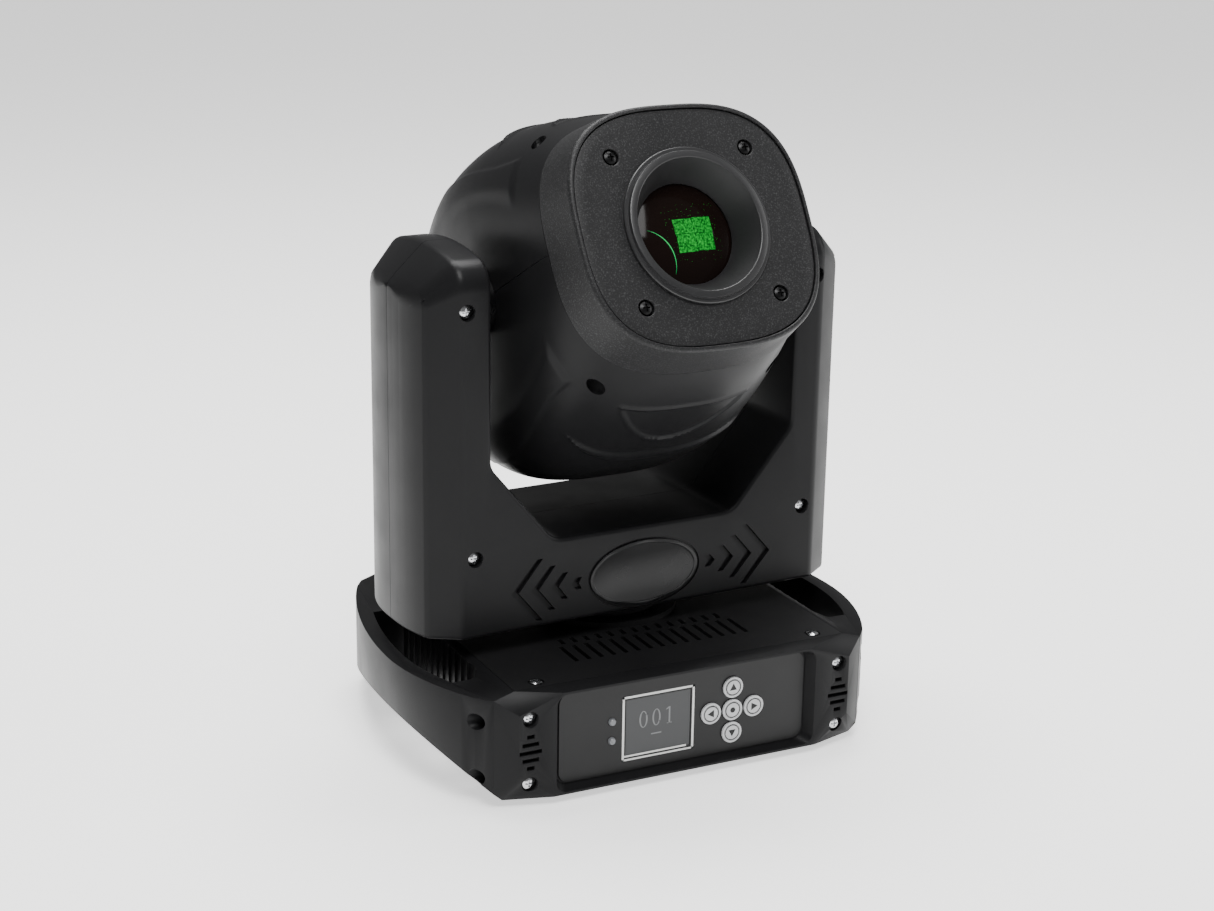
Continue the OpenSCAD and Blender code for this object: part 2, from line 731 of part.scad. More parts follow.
module pan_post() {
  color(dark) difference() {
    union() {
      translate([0, 0, top_z]) cylinder(r = flange_r, h = 3);
      translate([0, 0, top_z]) cylinder(r = neck_r, h = yoke_gap - neck_gap);
      translate([0, 0, top_z - 16]) cylinder(r = post_r, h = pan_pulley_z + pulley_w + 2 - top_z + 16);
    }
    translate([0, 0, top_z - 17]) cylinder(r = post_bore_r, h = 100);
  }
}
module pan_pulley() {
  color(silver) translate([0, 0, pan_pulley_z]) pulley(pan_pulley_r, post_r);
}
// Belt pulley with two guide rims, axis +Z
module pulley(r, bore) {
  rim = 1;
  difference() {
    union() {
      cylinder(r = r, h = pulley_w);
      cylinder(r = r + belt_t + 0.8, h = rim - 0.2);
      translate([0, 0, pulley_w - rim + 0.2]) cylinder(r = r + belt_t + 0.8, h = rim - 0.2);
    }
    translate([0, 0, -1]) cylinder(r = bore, h = pulley_w + 2);
  }
}
// Closed belt round two pulleys, in the plane z = 0 up to belt_w
module belt(span, r0, r1) {
  linear_extrude(belt_w) difference() {
    hull() {
      circle(r = r0 + belt_gap + belt_t);
      translate([span, 0]) circle(r = r1 + belt_gap + belt_t);
    }
    hull() {
      circle(r = r0 + belt_gap);
      translate([span, 0]) circle(r = r1 + belt_gap);
    }
  }
}

// ---------- Yoke ----------

// Side view of the yoke: straight sides, rounded top corners, slightly crowned top
module arm_side(half, top, corner) {
  crown = 3;
  polygon(concat([[-half, yoke_z], [half, yoke_z]],
    [for (i = [0 : 6]) let (a = i * 15)
      [half - corner + corner * cos(a), top - crown - corner + corner * sin(a)]],
    [for (s = [-1, 0, 1]) [-s * (half - corner) / 2, top - crown * s * s / 3]],
    [for (i = [0 : 6]) let (a = 90 + i * 15)
      [-half + corner + corner * cos(a), top - crown - corner + corner * sin(a)]]));
}
// Outer body of the yoke before the throat is cut, drawn in by t all round
module yoke_body(t) {
  step = 0.01;
  side_top = arm_top - arm_drop;
  hull() mirror_x() {
    along_x(0, yoke_face_x - t * 0.4) arm_side(yoke_half_d - t, arm_top - t, arm_corner_r - t);
    along_x(yoke_side_x - t - step, yoke_side_x - t)
      arm_side(yoke_side_d - t, side_top - t, arm_corner_r * 0.6);
    along_x(yoke_side_x + yoke_bulge * 0.75 - t - step, yoke_side_x + yoke_bulge * 0.75 - t)
      arm_side(yoke_side_d * 0.5, side_top - 6 - t, 4);
    along_x(yoke_side_x + yoke_bulge - t - step, yoke_side_x + yoke_bulge - t)
      arm_side(yoke_side_d * 0.18, side_top - 14 - t, 2);
  }
}
// The throat between the arms, widened by t
module throat(t) {
  x0 = floor_half + t * 0.5;
  z0 = floor_z - t;
  z1 = floor_z + throat_h - t * 0.4;
  polygon([[-x0 + 3, z0], [x0 - 3, z0], [x0 + 3, z0 + 2], [arm_x + t, z1],
    [arm_x + t, arm_top + 50], [-arm_x - t, arm_top + 50], [-arm_x - t, z1], [-x0 - 3, z0 + 2]]);
}
module yoke_shell() {
  big = 400;
  difference() {
    yoke_body(0);
    along_y(-yoke_half_d - 5, yoke_half_d + 5) throat(0);
    difference() {
      translate([0, 0, wall]) yoke_body(wall);
      along_y(-yoke_half_d - 5, yoke_half_d + 5) throat(wall);
    }
    translate([0, 0, yoke_z - 1]) cylinder(r = bush_r + 3, h = wall + 3);
    mirror_x() translate([arm_x - 1, 0, tilt_z]) rotate([0, 90, 0])
      cylinder(r = boss_r + 1, h = wall + 2);
    translate([-big / 2, -fit / 4, 0]) cube([big, big, big]);
  }
}
module yoke_screw_places() {
  for (i = [0, 1], s = [-1, 1]) translate([s * yoke_screw_x[i], -seat_y, yoke_screw_z[i]])
    rotate([90, 0, 0]) children();
}
module chevrons() {
  for (s = [0, 1], i = [0 : 3]) mirror([s, 0, 0]) {
    end_x = chevron_tip[i] - chevron_rise[i] * 0.88;
    w = chevron_w;
    along_y(-yoke_half_d - 1, -yoke_half_d + wall + 1) polygon([[chevron_tip[i], badge_z],
      [end_x, badge_z + chevron_rise[i]], [end_x - w, badge_z + chevron_rise[i]],
      [chevron_tip[i] - w * 1.3, badge_z], [end_x - w, badge_z - chevron_rise[i]],
      [end_x, badge_z - chevron_rise[i]]]);
  }
}
module shell_with_screws() {
  difference() {
    union() {
      yoke_shell();
      difference() {
        yoke_screw_places() translate([0, 0, -12]) cylinder(r = counter_r + 1.4, h = 12 + wall);
        translate([-200, -fit / 4, 0]) cube([400, 400, 400]);
      }
    }
    yoke_screw_places() screw_hole(10, 12);
  }
}
module yoke_front_shell() {
  color(black) on_yoke() difference() {
    shell_with_screws();
    chevrons();
    along_y(-yoke_half_d - 1, -yoke_half_d + badge_t) translate([0, badge_z])
      polygon(oval(badge_a + fit, badge_b + fit, 64));
  }
}
module yoke_rear_shell() {
  color(black) on_yoke() rotate([0, 0, 180]) difference() {
    shell_with_screws();
    for (i = [-4 : 4]) translate([i * 12 - 1.5, -yoke_half_d - 1, yoke_z + 12])
      cube([3, wall + 2, crossbar_h - 24]);
  }
}
module yoke_badge() {
  color("#202021") on_yoke() difference() {
    along_y(-yoke_half_d - 0.4, -yoke_half_d + badge_t) translate([0, badge_z])
      polygon(oval(badge_a, badge_b, 64));
    along_y(-yoke_half_d - 1, -yoke_half_d) translate([0, badge_z])
      polygon(oval(badge_a - 2, badge_b - 2, 64));
  }
}
module yoke_frame() {
  top = tilt_z + tilt_bush_r + 8;
  color(steel) on_yoke() difference() {
    union() {
      translate([-frame_x - sheet, -frame_half_y, plate_z])
        cube([2 * (frame_x + sheet), 2 * frame_half_y, sheet]);
      mirror_x() translate([frame_x, -frame_half_y, plate_z])
        cube([sheet, 2 * frame_half_y, top - plate_z]);
    }
    translate([0, 0, plate_z - 1]) cylinder(r = bush_r, h = sheet + 2);
    mirror_x() translate([frame_x - 1, 0, tilt_z]) rotate([0, 90, 0])
      cylinder(r = tilt_bush_r, h = sheet + 2);
    translate([frame_x - 1, 0, tilt_motor_z]) rotate([0, 90, 0])
      cylinder(r = motor_shaft_r + 3, h = sheet + 2);
    mirror_x() for (z = [0, 1]) translate([frame_x - 1, -frame_half_y + 9, tilt_motor_z + 34 + z * 36])
      cube([sheet + 2, 2 * frame_half_y - 18, 26]);
  }
}
module pan_bush() {
  color("#b08d57") on_yoke() translate([0, 0, plate_z]) difference() {
    union() {
      cylinder(r = bush_r, h = bush_h);
      translate([0, 0, sheet]) cylinder(r = bush_r + 4, h = 2);
    }
    translate([0, 0, -1]) cylinder(r = post_r + run_gap, h = bush_h + 2);
  }
}
module tilt_bushes() {
  color("#b08d57") on_yoke() mirror_x() translate([frame_x, 0, tilt_z]) rotate([0, 90, 0]) difference() {
    union() {
      cylinder(r = tilt_bush_r, h = bush_l);
      translate([0, 0, sheet]) cylinder(r = tilt_bush_r + 3, h = 2);
    }
    translate([0, 0, -1]) cylinder(r = hub_r + run_gap, h = bush_l + 2);
  }
}
// Square stepper motor, face at z = 0, body below, shaft upwards
module motor(body_h, shaft_l) {
  cut = 3;
  h = motor_half;
  color("#2c2c2e") translate([0, 0, -body_h]) linear_extrude(body_h)
    polygon([[-h + cut, -h], [h - cut, -h], [h, -h + cut], [h, h - cut], [h - cut, h],
      [-h + cut, h], [-h, h - cut], [-h, -h + cut]]);
  color(steel) cylinder(r = motor_shaft_r, h = shaft_l);
}
module pan_motor() {
  on_yoke() translate([-pan_motor_x, 0, plate_z + sheet + pan_motor_h]) motor(pan_motor_h, pulley_w + 2);
}
module tilt_motor() {
  on_yoke() translate([frame_x, 0, tilt_motor_z]) rotate([0, 90, 0])
    motor(pan_motor_h, tilt_pulley_x + pulley_w - frame_x + 1);
}
module pan_motor_pulley() {
  color(silver) on_yoke() translate([-pan_motor_x, 0, pan_pulley_z])
    pulley(motor_pulley_r, motor_shaft_r + run_gap);
}
module tilt_motor_pulley() {
  color(silver) on_yoke() translate([tilt_pulley_x, 0, tilt_motor_z]) rotate([0, 90, 0])
    pulley(motor_pulley_r, motor_shaft_r + run_gap);
}
module pan_belt() {
  color("#111111") on_yoke() translate([0, 0, pan_pulley_z + (pulley_w - belt_w) / 2])
    rotate([0, 0, 180]) belt(pan_motor_x, pan_pulley_r, motor_pulley_r);
}
module tilt_belt() {
  color("#111111") on_yoke() translate([tilt_pulley_x + (pulley_w - belt_w) / 2, 0, tilt_z])
    rotate([0, 90, 0]) belt(tilt_z - tilt_motor_z, tilt_pulley_r, motor_pulley_r);
}
module yoke_screws() {
  color(silver) on_yoke() for (a = [0, 180]) rotate([0, 0, a]) yoke_screw_places() screw(9);
}
module driver_board() {
  x = -frame_x - sheet - 4;
  color(board) on_yoke() union() {
    translate([x - 1.6, -24, floor_z]) cube([1.6, 48, 90]);
    for (y = [-18, 18], z = [6, 84]) translate([x - 1, y, floor_z + z]) rotate([0, 90, 0])
      cylinder(r = 2.5, h = 5);
    for (z = [16, 36, 56]) translate([x - 4, -8, floor_z + z]) cube([3, 12, 12]);
  }
}

// ---------- Head ----------

// Shell of half the head body: side = 1 above the parting line, -1 below
module body_shell(side) {
  stations = 13;
  n = head_steps;
  m = 2 * (n + 1);
  parting = 0.001;
  function ring(k) = let (l = seam_l - (seam_l + body_back) * k / (stations - 1),
      a = body_width(l), b = body_height(l), p = body_power(l))
    concat([for (i = [0 : n]) let (q = rounded_point(a, b, p, parting + (180 - 2 * parting) * i / n))
        [q[0], -l, side * q[1]]],
      [for (i = [n : -1 : 0])
        let (q = rounded_point(a - head_wall, b - head_wall, p, parting + (180 - 2 * parting) * i / n))
        [q[0], -l, side * q[1]]]);
  pts = [for (k = [0 : stations - 1]) each ring(k)];
  sides = [for (k = [0 : stations - 2], i = [0 : m - 1]) let (j = (i + 1) % m)
      each [[k * m + i, k * m + j, (k + 1) * m + j], [k * m + i, (k + 1) * m + j, (k + 1) * m + i]]];
  ends = [for (i = [0 : n - 1]) let (j = m - 1 - i, b = (stations - 1) * m)
      each [[i, j, i + 1], [j, j - 1, i + 1], [b + i, b + i + 1, b + j], [b + j, b + i + 1, b + j - 1]]];
  all_faces = concat(sides, ends);
  polyhedron(pts, side > 0 ? [for (f = all_faces) [f[2], f[1], f[0]]] : all_faces);
}
module hub_hole() {
  rotate([0, 90, 0]) cylinder(r = boss_r + fit, h = 3 * body_a, center = true);
}
shell_screw_l = 57.4;
shell_screw_x = 51.6;
// Height of the body surface over the point x, l
function body_rise(x, l) = body_height(l)
  * pow(1 - pow(x / body_width(l), body_power(l)), 1 / body_power(l));
well_depth = 6;
shell_seat = body_rise(shell_screw_x, shell_screw_l) - well_depth;
// Shell screws, top and bottom, two each side: axis +Z of the children points outwards
module shell_screws_at(side) {
  for (m = [0, 1]) mirror([m, 0, 0]) mirror([0, 0, side > 0 ? 0 : 1])
    translate([shell_screw_x, -shell_screw_l, shell_seat]) children();
}
module head_half(side) {
  color(black) in_head() difference() {
    body_shell(side);
    hub_hole();
    shell_screws_at(side) translate([0, 0, -2.5]) cylinder(r = counter_r, h = 32);
  }
}
module head_upper_shell() {
  head_half(1);
}
module head_lower_shell() {
  head_half(-1);
}

// Solid loft between two rounded outlines of half sizes [a, b] at l0 and l1
module loft(l0, s0, l1, s1, n) {
  step = 0.01;
  hull() {
    along_y(-l0, -l0 + step) polygon(rounded_box(s0[0], s0[1], n, 64));
    along_y(-l1 - step, -l1) polygon(rounded_box(s1[0], s1[1], n, 64));
  }
}
face_power = 2.9;
module head_band() {
  back = [face_a + band_flare, face_b + band_flare];
  t = head_wall;
  color(black) in_head() difference() {
    loft(face_l, [face_a, face_b], seam_l, back, face_power);
    loft(face_l + 1, [face_a - face_rim, face_b - face_rim], seam_l - 1,
      [back[0] - t, back[1] - t], face_power);
  }
}
module face_plate() {
  in = face_rim + fit + 1;
  color("#2a2a2a") in_head() difference() {
    along_y(-plate_l, -plate_l + face_plate_t)
      polygon(rounded_box(face_a - in, face_b - in, face_power, 96));
    on_lens_axis(plate_l - face_plate_t - 1) cylinder(r = mouth_r + 3, h = face_plate_t + 2);
    for (x = [-face_screw, face_screw], z = [-face_screw, face_screw])
      translate([x, 0, z]) on_lens_axis(plate_l - face_plate_t + 1) screw_hole(10, 5);
  }
}
module lens_collar() {
  back = lens_l - 5;
  color("#1e1e1e") in_head() on_lens_axis(0) rotate_extrude($fn = 96)
    polygon([[mouth_r, face_l + collar_out - 0.8], [mouth_r + 1, face_l + collar_out],
      [mouth_r + 3.5, face_l + collar_out], [mouth_r + 4, face_l + collar_out * 0.4],
      [collar_r, face_l + collar_out * 0.4], [collar_r, plate_l], [mouth_r + 2.8, plate_l],
      [mouth_r + 2.8, plate_l - 8], [lens_r + 3, back], [lens_r - 1.2, back], [lens_r - 1.2, lens_l - 4],
      [lens_r, lens_l - 4], [lens_r, lens_l], [lens_r - 0.8, lens_l + 0.6]]);
}
module front_lens() {
  dome = 4.5;
  n = 12;
  r = lens_r - 0.1;
  color("#6fae86") in_head() on_lens_axis(lens_l - 3.9) rotate_extrude($fn = 96)
    polygon(concat([[0, 0], [r, 0]],
      [for (i = [0 : n]) let (x = r * (1 - i / n)) [x, 3.2 + dome * (1 - pow(x / r, 2))]]));
}
module rear_cap() {
  a = body_width(-body_back);
  b = body_height(-body_back);
  p = body_power(-body_back);
  l = body_back + cap_l;
  t = head_wall;
  color(dark) in_head() difference() {
    loft(-body_back - 0.05, [a, b], -l, [a * cap_ratio, b * cap_ratio], p);
    loft(-body_back + 1, [a - t, b - t], -l + t, [a * cap_ratio - t, b * cap_ratio - t], p);
    for (i = [-6 : 6]) translate([i * 7 - 1.6, l - t - 2, -b * 0.5]) cube([3.2, t + 4, b]);
  }
}
module head_screws() {
  color("#3a3a3c") in_head() {
    for (x = [-face_screw, face_screw], z = [-face_screw, face_screw])
      translate([x, 0, z]) on_lens_axis(plate_l - face_plate_t + 1) screw(8);
    for (side = [-1, 1]) shell_screws_at(side) screw(8);
  }
}
module tilt_hubs() {
  inner = frame_side_x + sheet;
  shaft_end = [frame_x + bush_l + 1, tilt_pulley_x + pulley_w + 1];
  color(steel) in_head() for (m = [0, 1]) mirror([1 - m, 0, 0]) rotate([0, 90, 0]) difference() {
    union() {
      translate([0, 0, inner]) cylinder(r = boss_r + 5, h = 3);
      translate([0, 0, inner]) cylinder(r = boss_r, h = arm_x + wall - inner);
      translate([0, 0, inner]) cylinder(r = hub_r, h = shaft_end[m] - inner);
    }
    translate([0, 0, inner - 1]) cylinder(r = hub_r - 4, h = 80);
  }
}
module tilt_pulley() {
  color(silver) in_head() translate([tilt_pulley_x, 0, 0]) rotate([0, 90, 0])
    pulley(tilt_pulley_r, hub_r);
}
module head_frame() {
  post_h = 10;
  ear = 10.4;
  reach = frame_l[1] + sheet - shell_screw_l;
  u = frame_half_u;
  x = frame_side_x;
  color(steel) in_head() difference() {
    union() {
      mirror_x() translate([x, -frame_l[1], -u]) cube([sheet, frame_l[1] - frame_l[0], 2 * u]);
      for (l = frame_l) translate([-x - sheet, -l - sheet, -u]) cube([2 * (x + sheet), sheet, 2 * u]);
      // ears with the posts that take the shell screws
      for (side = [-1, 1]) shell_screws_at(side) {
        translate([0, 0, -post_h]) cylinder(r = counter_r - fit, h = post_h);
        translate([-ear / 2, -reach, -post_h - sheet]) cube([ear, reach + ear / 2 - 1, sheet]);
        translate([-ear / 2, -reach, u - 1 - shell_seat]) cube([ear, sheet, shell_seat - post_h - u + 1]);
      }
    }
    for (side = [-1, 1]) shell_screws_at(side)
      translate([0, 0, -post_h + 1]) cylinder(r = shank_r + shank_gap, h = post_h);
    hub_hole_inner();
    for (l = frame_l) on_lens_axis(l - 1) cylinder(r = 22, h = sheet + 2);
  }
}
module hub_hole_inner() {
  rotate([0, 90, 0]) cylinder(r = hub_r - 4, h = 3 * body_a, center = true);
}
module led_module() {
  color("#e8e6d8") in_head() on_lens_axis(heatsink_l) union() {
    cylinder(r = 20, h = 2 + sheet);
    for (x = [-1, 1], y = [-1, 1]) translate([x * 4.2 - 3.8, y * 4.2 - 3.8, 2])
      cube([7.6, 7.6, sheet + 1.4]);
  }
}
module heatsink() {
  half = 32;
  base_t = 5;
  fins = 9;
  color("#8f9296") in_head() on_lens_axis(heatsink_l - fin_d) union() {
    translate([-half, -half, fin_d - base_t]) cube([2 * half, 2 * half, base_t]);
    for (i = [0 : fins - 1]) translate([-half + i * (2 * half - 2) / (fins - 1), -half, 0])
      cube([2, 2 * half, fin_d]);
  }
}
module fan_housing() {
  h = 15;
  color("#19191a") in_head() on_lens_axis(fan_l) union() {
    difference() {
      translate([-fan_half, -fan_half, 0]) cube([2 * fan_half, 2 * fan_half, h]);
      translate([0, 0, -1]) cylinder(r = fan_r + 1, h = h + 2);
      for (x = [-1, 1], y = [-1, 1]) translate([x * 25, y * 25, -1]) cylinder(r = 2.1, h = h + 2);
    }
    for (a = [45, 135, 225, 315]) rotate([0, 0, a]) translate([0, -1.5, 0]) cube([fan_r + 2, 3, 2]);
    cylinder(r = fan_hub_r - 2, h = 2);
    cylinder(r = 1.5, h = h - 4);
  }
}
module fan_rotor() {
  h = 10;
  blades = 7;
  color("#222224") in_head() on_lens_axis(fan_l + 2.5) difference() {
    union() {
      cylinder(r = fan_hub_r, h = h);
      for (i = [0 : blades - 1]) rotate([0, 0, i * 360 / blades]) translate([fan_hub_r - 2, 0, h / 2])
        rotate([35, 0, 0]) translate([0, -0.7, -5]) cube([fan_r - fan_hub_r + 1, 1.4, 10]);
    }
    translate([0, 0, -1]) cylinder(r = 1.5 + run_gap, h = h + 2);
  }
}
module condenser() {
  color("#bcd3d8") in_head() on_lens_axis(condenser_l) rotate_extrude()
    polygon([[0, 0], [17, 0], [17, 4], [12, 11], [6, 14], [0, 15]]);
  color(dark) in_head() on_lens_axis(led_l) difference() {
    cylinder(r = 21, h = 8);
    translate([0, 0, -1]) cylinder(r = 17.2, h = 12);
  }
}
motor_r = 10;
module effect_motors() {
  plate_t = 2;
  color("#2c2c2e") in_head() for (p = [[colour_l, -1, -1], [gobo_l, 1, 1]])
    translate([0, 0, p[1] * window_circle_r]) on_lens_axis(p[0]) union() {
      translate([0, 0, p[2] > 0 ? 2 : -13]) cylinder(r = motor_r, h = 11);
      translate([0, 0, -3]) cylinder(r = 1.5, h = 6);
      translate([-frame_side_x, -4, p[2] > 0 ? 13 : -13 - plate_t])
        cube([2 * frame_side_x, 8, plate_t]);
    }
}
// Filter wheel with round windows, axis +Z, centred in its thickness
module wheel(windows, t) {
  difference() {
    translate([0, 0, -t / 2]) cylinder(r = wheel_r, h = t);
    for (i = [0 : windows - 1]) rotate([0, 0, 90 + i * 360 / windows])
      translate([window_circle_r, 0, -t]) cylinder(r = wheel_window_r, h = 2 * t);
    translate([0, 0, -t]) cylinder(r = 1.5 + run_gap, h = 2 * t);
  }
}
module colour_wheel() {
  color("#7d5ba6") in_head() translate([0, 0, -window_circle_r]) on_lens_axis(colour_l) wheel(8, 1.2);
}
module gobo_wheel() {
  color("#8f9296") in_head() translate([0, 0, window_circle_r]) rotate([0, 180, 0])
    on_lens_axis(gobo_l) wheel(8, 1.2);
}
module focus_rods() {
  color(silver) in_head() for (x = [-rod_x, rod_x]) translate([x, 0, 0])
    on_lens_axis(rod_l) union() {
      cylinder(r = rod_r, h = frame_l[1] - rod_l);
      cylinder(r = rod_r + 2, h = 1.5);
    }
}
module focus_carriage() {
  t = 7;
  color("#303033") in_head() on_lens_axis(focus_l) difference() {
    union() {
      cylinder(r = 24, h = t);
      translate([-rod_x - 6, -6, 0]) cube([2 * (rod_x + 6), 12, t]);
    }
    translate([0, 0, -1]) cylinder(r = 19, h = t + 2);
    for (x = [-rod_x, rod_x]) translate([x, 0, -1]) cylinder(r = rod_r + run_gap, h = t + 2);
  }
  color("#bcd3d8") in_head() on_lens_axis(focus_l) intersection() {
    cylinder(r = 19.01, h = t);
    translate([0, 0, -40]) sphere(r = 46.5);
  }
}

chassis_tray();
base_cover();
front_bezel();
rear_panel();
left_handle();
right_handle();
display_overlay();
display_module();
status_lamps();
control_board();
power_supply();
rubber_feet();
mains_inlet();
dmx_input();
dmx_output();
base_screws();
handle_screws();
pan_post();
pan_pulley();
button_up();
button_down();
button_left();
button_right();
button_ok();
yoke_front_shell();
yoke_rear_shell();
yoke_frame();
pan_bush();
tilt_bushes();
pan_motor();
tilt_motor();
pan_belt();
tilt_belt();
yoke_screws();
yoke_badge();
driver_board();
pan_motor_pulley();
tilt_motor_pulley();
head_upper_shell();
head_lower_shell();
head_band();
face_plate();
lens_collar();
front_lens();
rear_cap();
head_screws();
tilt_hubs();
tilt_pulley();
head_frame();
led_module();
heatsink();
fan_housing();
fan_rotor();
condenser();
effect_motors();
colour_wheel();
gobo_wheel();
focus_rods();
focus_carriage();
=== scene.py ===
"""Looks of a compact moving head spot light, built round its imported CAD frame.

The base, the turning yoke and the tilting head keep the sizes of the frame. Most CAD nodes stay and get a
finish, or stand as a merged copy with softened edges. The yoke shells, the head shells and the marks of the
control panel are built here.
"""

import json
import logging
import math
from dataclasses import dataclass, field
from enum import Enum
from typing import Callable, Sequence

import bmesh
import bpy
import numpy as np
from mathutils import Matrix, Vector


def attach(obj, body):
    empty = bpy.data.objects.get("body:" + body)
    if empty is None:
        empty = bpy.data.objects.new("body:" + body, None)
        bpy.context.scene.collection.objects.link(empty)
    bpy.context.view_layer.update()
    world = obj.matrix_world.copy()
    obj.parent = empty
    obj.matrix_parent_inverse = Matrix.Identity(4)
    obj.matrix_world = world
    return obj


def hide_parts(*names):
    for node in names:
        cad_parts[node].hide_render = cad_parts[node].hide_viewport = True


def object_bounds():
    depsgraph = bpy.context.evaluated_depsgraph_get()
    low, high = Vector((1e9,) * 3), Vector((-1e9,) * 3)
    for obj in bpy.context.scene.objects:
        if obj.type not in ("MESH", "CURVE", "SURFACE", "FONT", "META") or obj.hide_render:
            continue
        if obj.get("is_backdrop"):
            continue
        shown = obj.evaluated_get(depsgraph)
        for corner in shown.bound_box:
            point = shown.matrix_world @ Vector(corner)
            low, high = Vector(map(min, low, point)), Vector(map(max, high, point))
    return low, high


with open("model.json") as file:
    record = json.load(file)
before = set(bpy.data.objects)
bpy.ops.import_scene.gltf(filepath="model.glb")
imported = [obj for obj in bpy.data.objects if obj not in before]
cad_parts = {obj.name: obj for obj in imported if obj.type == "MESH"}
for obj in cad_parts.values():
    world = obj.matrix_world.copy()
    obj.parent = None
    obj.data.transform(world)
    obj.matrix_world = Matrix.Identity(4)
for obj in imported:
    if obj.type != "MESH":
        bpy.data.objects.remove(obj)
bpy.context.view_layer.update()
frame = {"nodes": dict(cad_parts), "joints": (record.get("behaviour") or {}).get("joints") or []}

LOG = logging.getLogger("moving_head")
MM = 0.001
IMAGE_WIDTH = 1214


def linear(hex_colour: str) -> tuple[float, float, float, float]:
    """Turn an sRGB hex colour into linear light.

    Args:
        hex_colour: Six hex digits, such as "1b1b1c".

    Returns:
        Linear red, green, blue and an alpha of one.
    """
    parts = [int(hex_colour[i : i + 2], 16) / 255 for i in (0, 2, 4)]
    light = [p / 12.92 if p <= 0.04045 else ((p + 0.055) / 1.055) ** 2.4 for p in parts]
    return (*light, 1.0)


def add_node(tree: bpy.types.NodeTree, kind: str, settings: dict | None = None, **sockets) -> bpy.types.Node:
    """Add a node, set it up and link it.

    Args:
        tree: The shader or geometry tree.
        kind: Blender's name of the node type.
        settings: Properties of the node itself.
        **sockets: Input sockets by name, with "_" for a space; an output socket as value is linked.

    Returns:
        The new node.
    """
    node = tree.nodes.new(kind)
    for name, value in (settings or {}).items():
        setattr(node, name, value)
    for name, value in sockets.items():
        by_number = name[0] == "i" and name[1:].isdigit()
        socket = node.inputs[int(name[1:])] if by_number else node.inputs[name.replace("_", " ")]
        if isinstance(value, bpy.types.NodeSocket):
            tree.links.new(value, socket)
        else:
            socket.default_value = value
    return node


@dataclass(frozen=True)
class Finish:
    """One real surface and how it was made."""

    name: str
    colour: str
    roughness: float
    slot: str
    metallic: float = 0.0
    ior: float = 1.5
    specular: float = 0.3
    coat: float = 0.0
    transmission: float = 0.0
    glow: float = 0.0
    glow_colour: str = "ffffff"
    glow_mm: float = 0.0
    grain_mm: float = 0.0
    grain_depth: float = 0.0
    # colour and size of painted glints: light specks that stand for sparkle off a textured face
    glint_colour: str = ""
    glint_mm: float = 0.6
    wear: float = 0.04

    def build(self) -> bpy.types.Material:
        """Make the material's node tree.

        Returns:
            The finished material.
        """
        material = bpy.data.materials.new(self.name)
        material.use_nodes = True
        tree = material.node_tree
        shader = tree.nodes["Principled BSDF"]
        shader.inputs["Base Color"].default_value = linear(self.colour)
        shader.inputs["Metallic"].default_value = self.metallic
        shader.inputs["Roughness"].default_value = self.roughness
        shader.inputs["IOR"].default_value = self.ior
        shader.inputs["Specular IOR Level"].default_value = self.specular
        shader.inputs["Coat Weight"].default_value = self.coat
        shader.inputs["Transmission Weight"].default_value = self.transmission
        if self.glow:
            shader.inputs["Emission Color"].default_value = linear(self.glow_colour)
            shader.inputs["Emission Strength"].default_value = self.glow
        place = add_node(tree, "ShaderNodeTexCoord").outputs["Object"]
        if self.glow_mm:
            # painted light: the glow of the lens image breaks up into bright grains
            grains = add_node(tree, "ShaderNodeTexNoise", Vector=place, Scale=1 / (self.glow_mm * MM),
                              Detail=3.0)
            share = add_node(tree, "ShaderNodeMapRange", Value=grains.outputs["Fac"], From_Min=0.36,
                             From_Max=0.68)
            tint = add_node(tree, "ShaderNodeMix", {"data_type": "RGBA"}, Factor=share.outputs["Result"])
            tint.inputs[6].default_value = linear(self.colour)
            tint.inputs[7].default_value = linear(self.glow_colour)
            tree.links.new(tint.outputs[2], shader.inputs["Emission Color"])
        if self.wear:
            # slow change of gloss, as from handling and mould flow, some 25 mm across
            cloud = add_node(tree, "ShaderNodeTexNoise", Vector=place, Scale=1 / (25 * MM), Detail=2.0)
            gloss = add_node(tree, "ShaderNodeMapRange", Value=cloud.outputs["Fac"],
                             From_Min=0.3, From_Max=0.7,
                             To_Min=self.roughness - self.wear, To_Max=self.roughness + self.wear)
            tree.links.new(gloss.outputs["Result"], shader.inputs["Roughness"])
        if self.grain_mm:
            grain = add_node(tree, "ShaderNodeTexNoise", Vector=place, Scale=1 / (self.grain_mm * MM),
                             Detail=3.0)
            bump = add_node(tree, "ShaderNodeBump", Height=grain.outputs["Fac"],
                            Strength=self.grain_depth, Distance=self.grain_mm * MM * 0.5)
            tree.links.new(bump.outputs["Normal"], shader.inputs["Normal"])
        if self.glint_colour:
            # painted glints: light specks in the base colour stand for the sparkle of light off the textured
            # face, drawn coarser than the real grit so that they show
            glint_noise = add_node(tree, "ShaderNodeTexNoise", Vector=place, Scale=1 / (self.glint_mm * MM),
                             Detail=1.0)
            share = add_node(tree, "ShaderNodeMapRange", Value=glint_noise.outputs["Fac"], From_Min=0.52,
                             From_Max=0.74)
            mix = add_node(tree, "ShaderNodeMix", {"data_type": "RGBA"}, Factor=share.outputs["Result"])
            mix.inputs[6].default_value = linear(self.colour)
            mix.inputs[7].default_value = linear(self.glint_colour)
            tree.links.new(mix.outputs[2], shader.inputs["Base Color"])
        return material


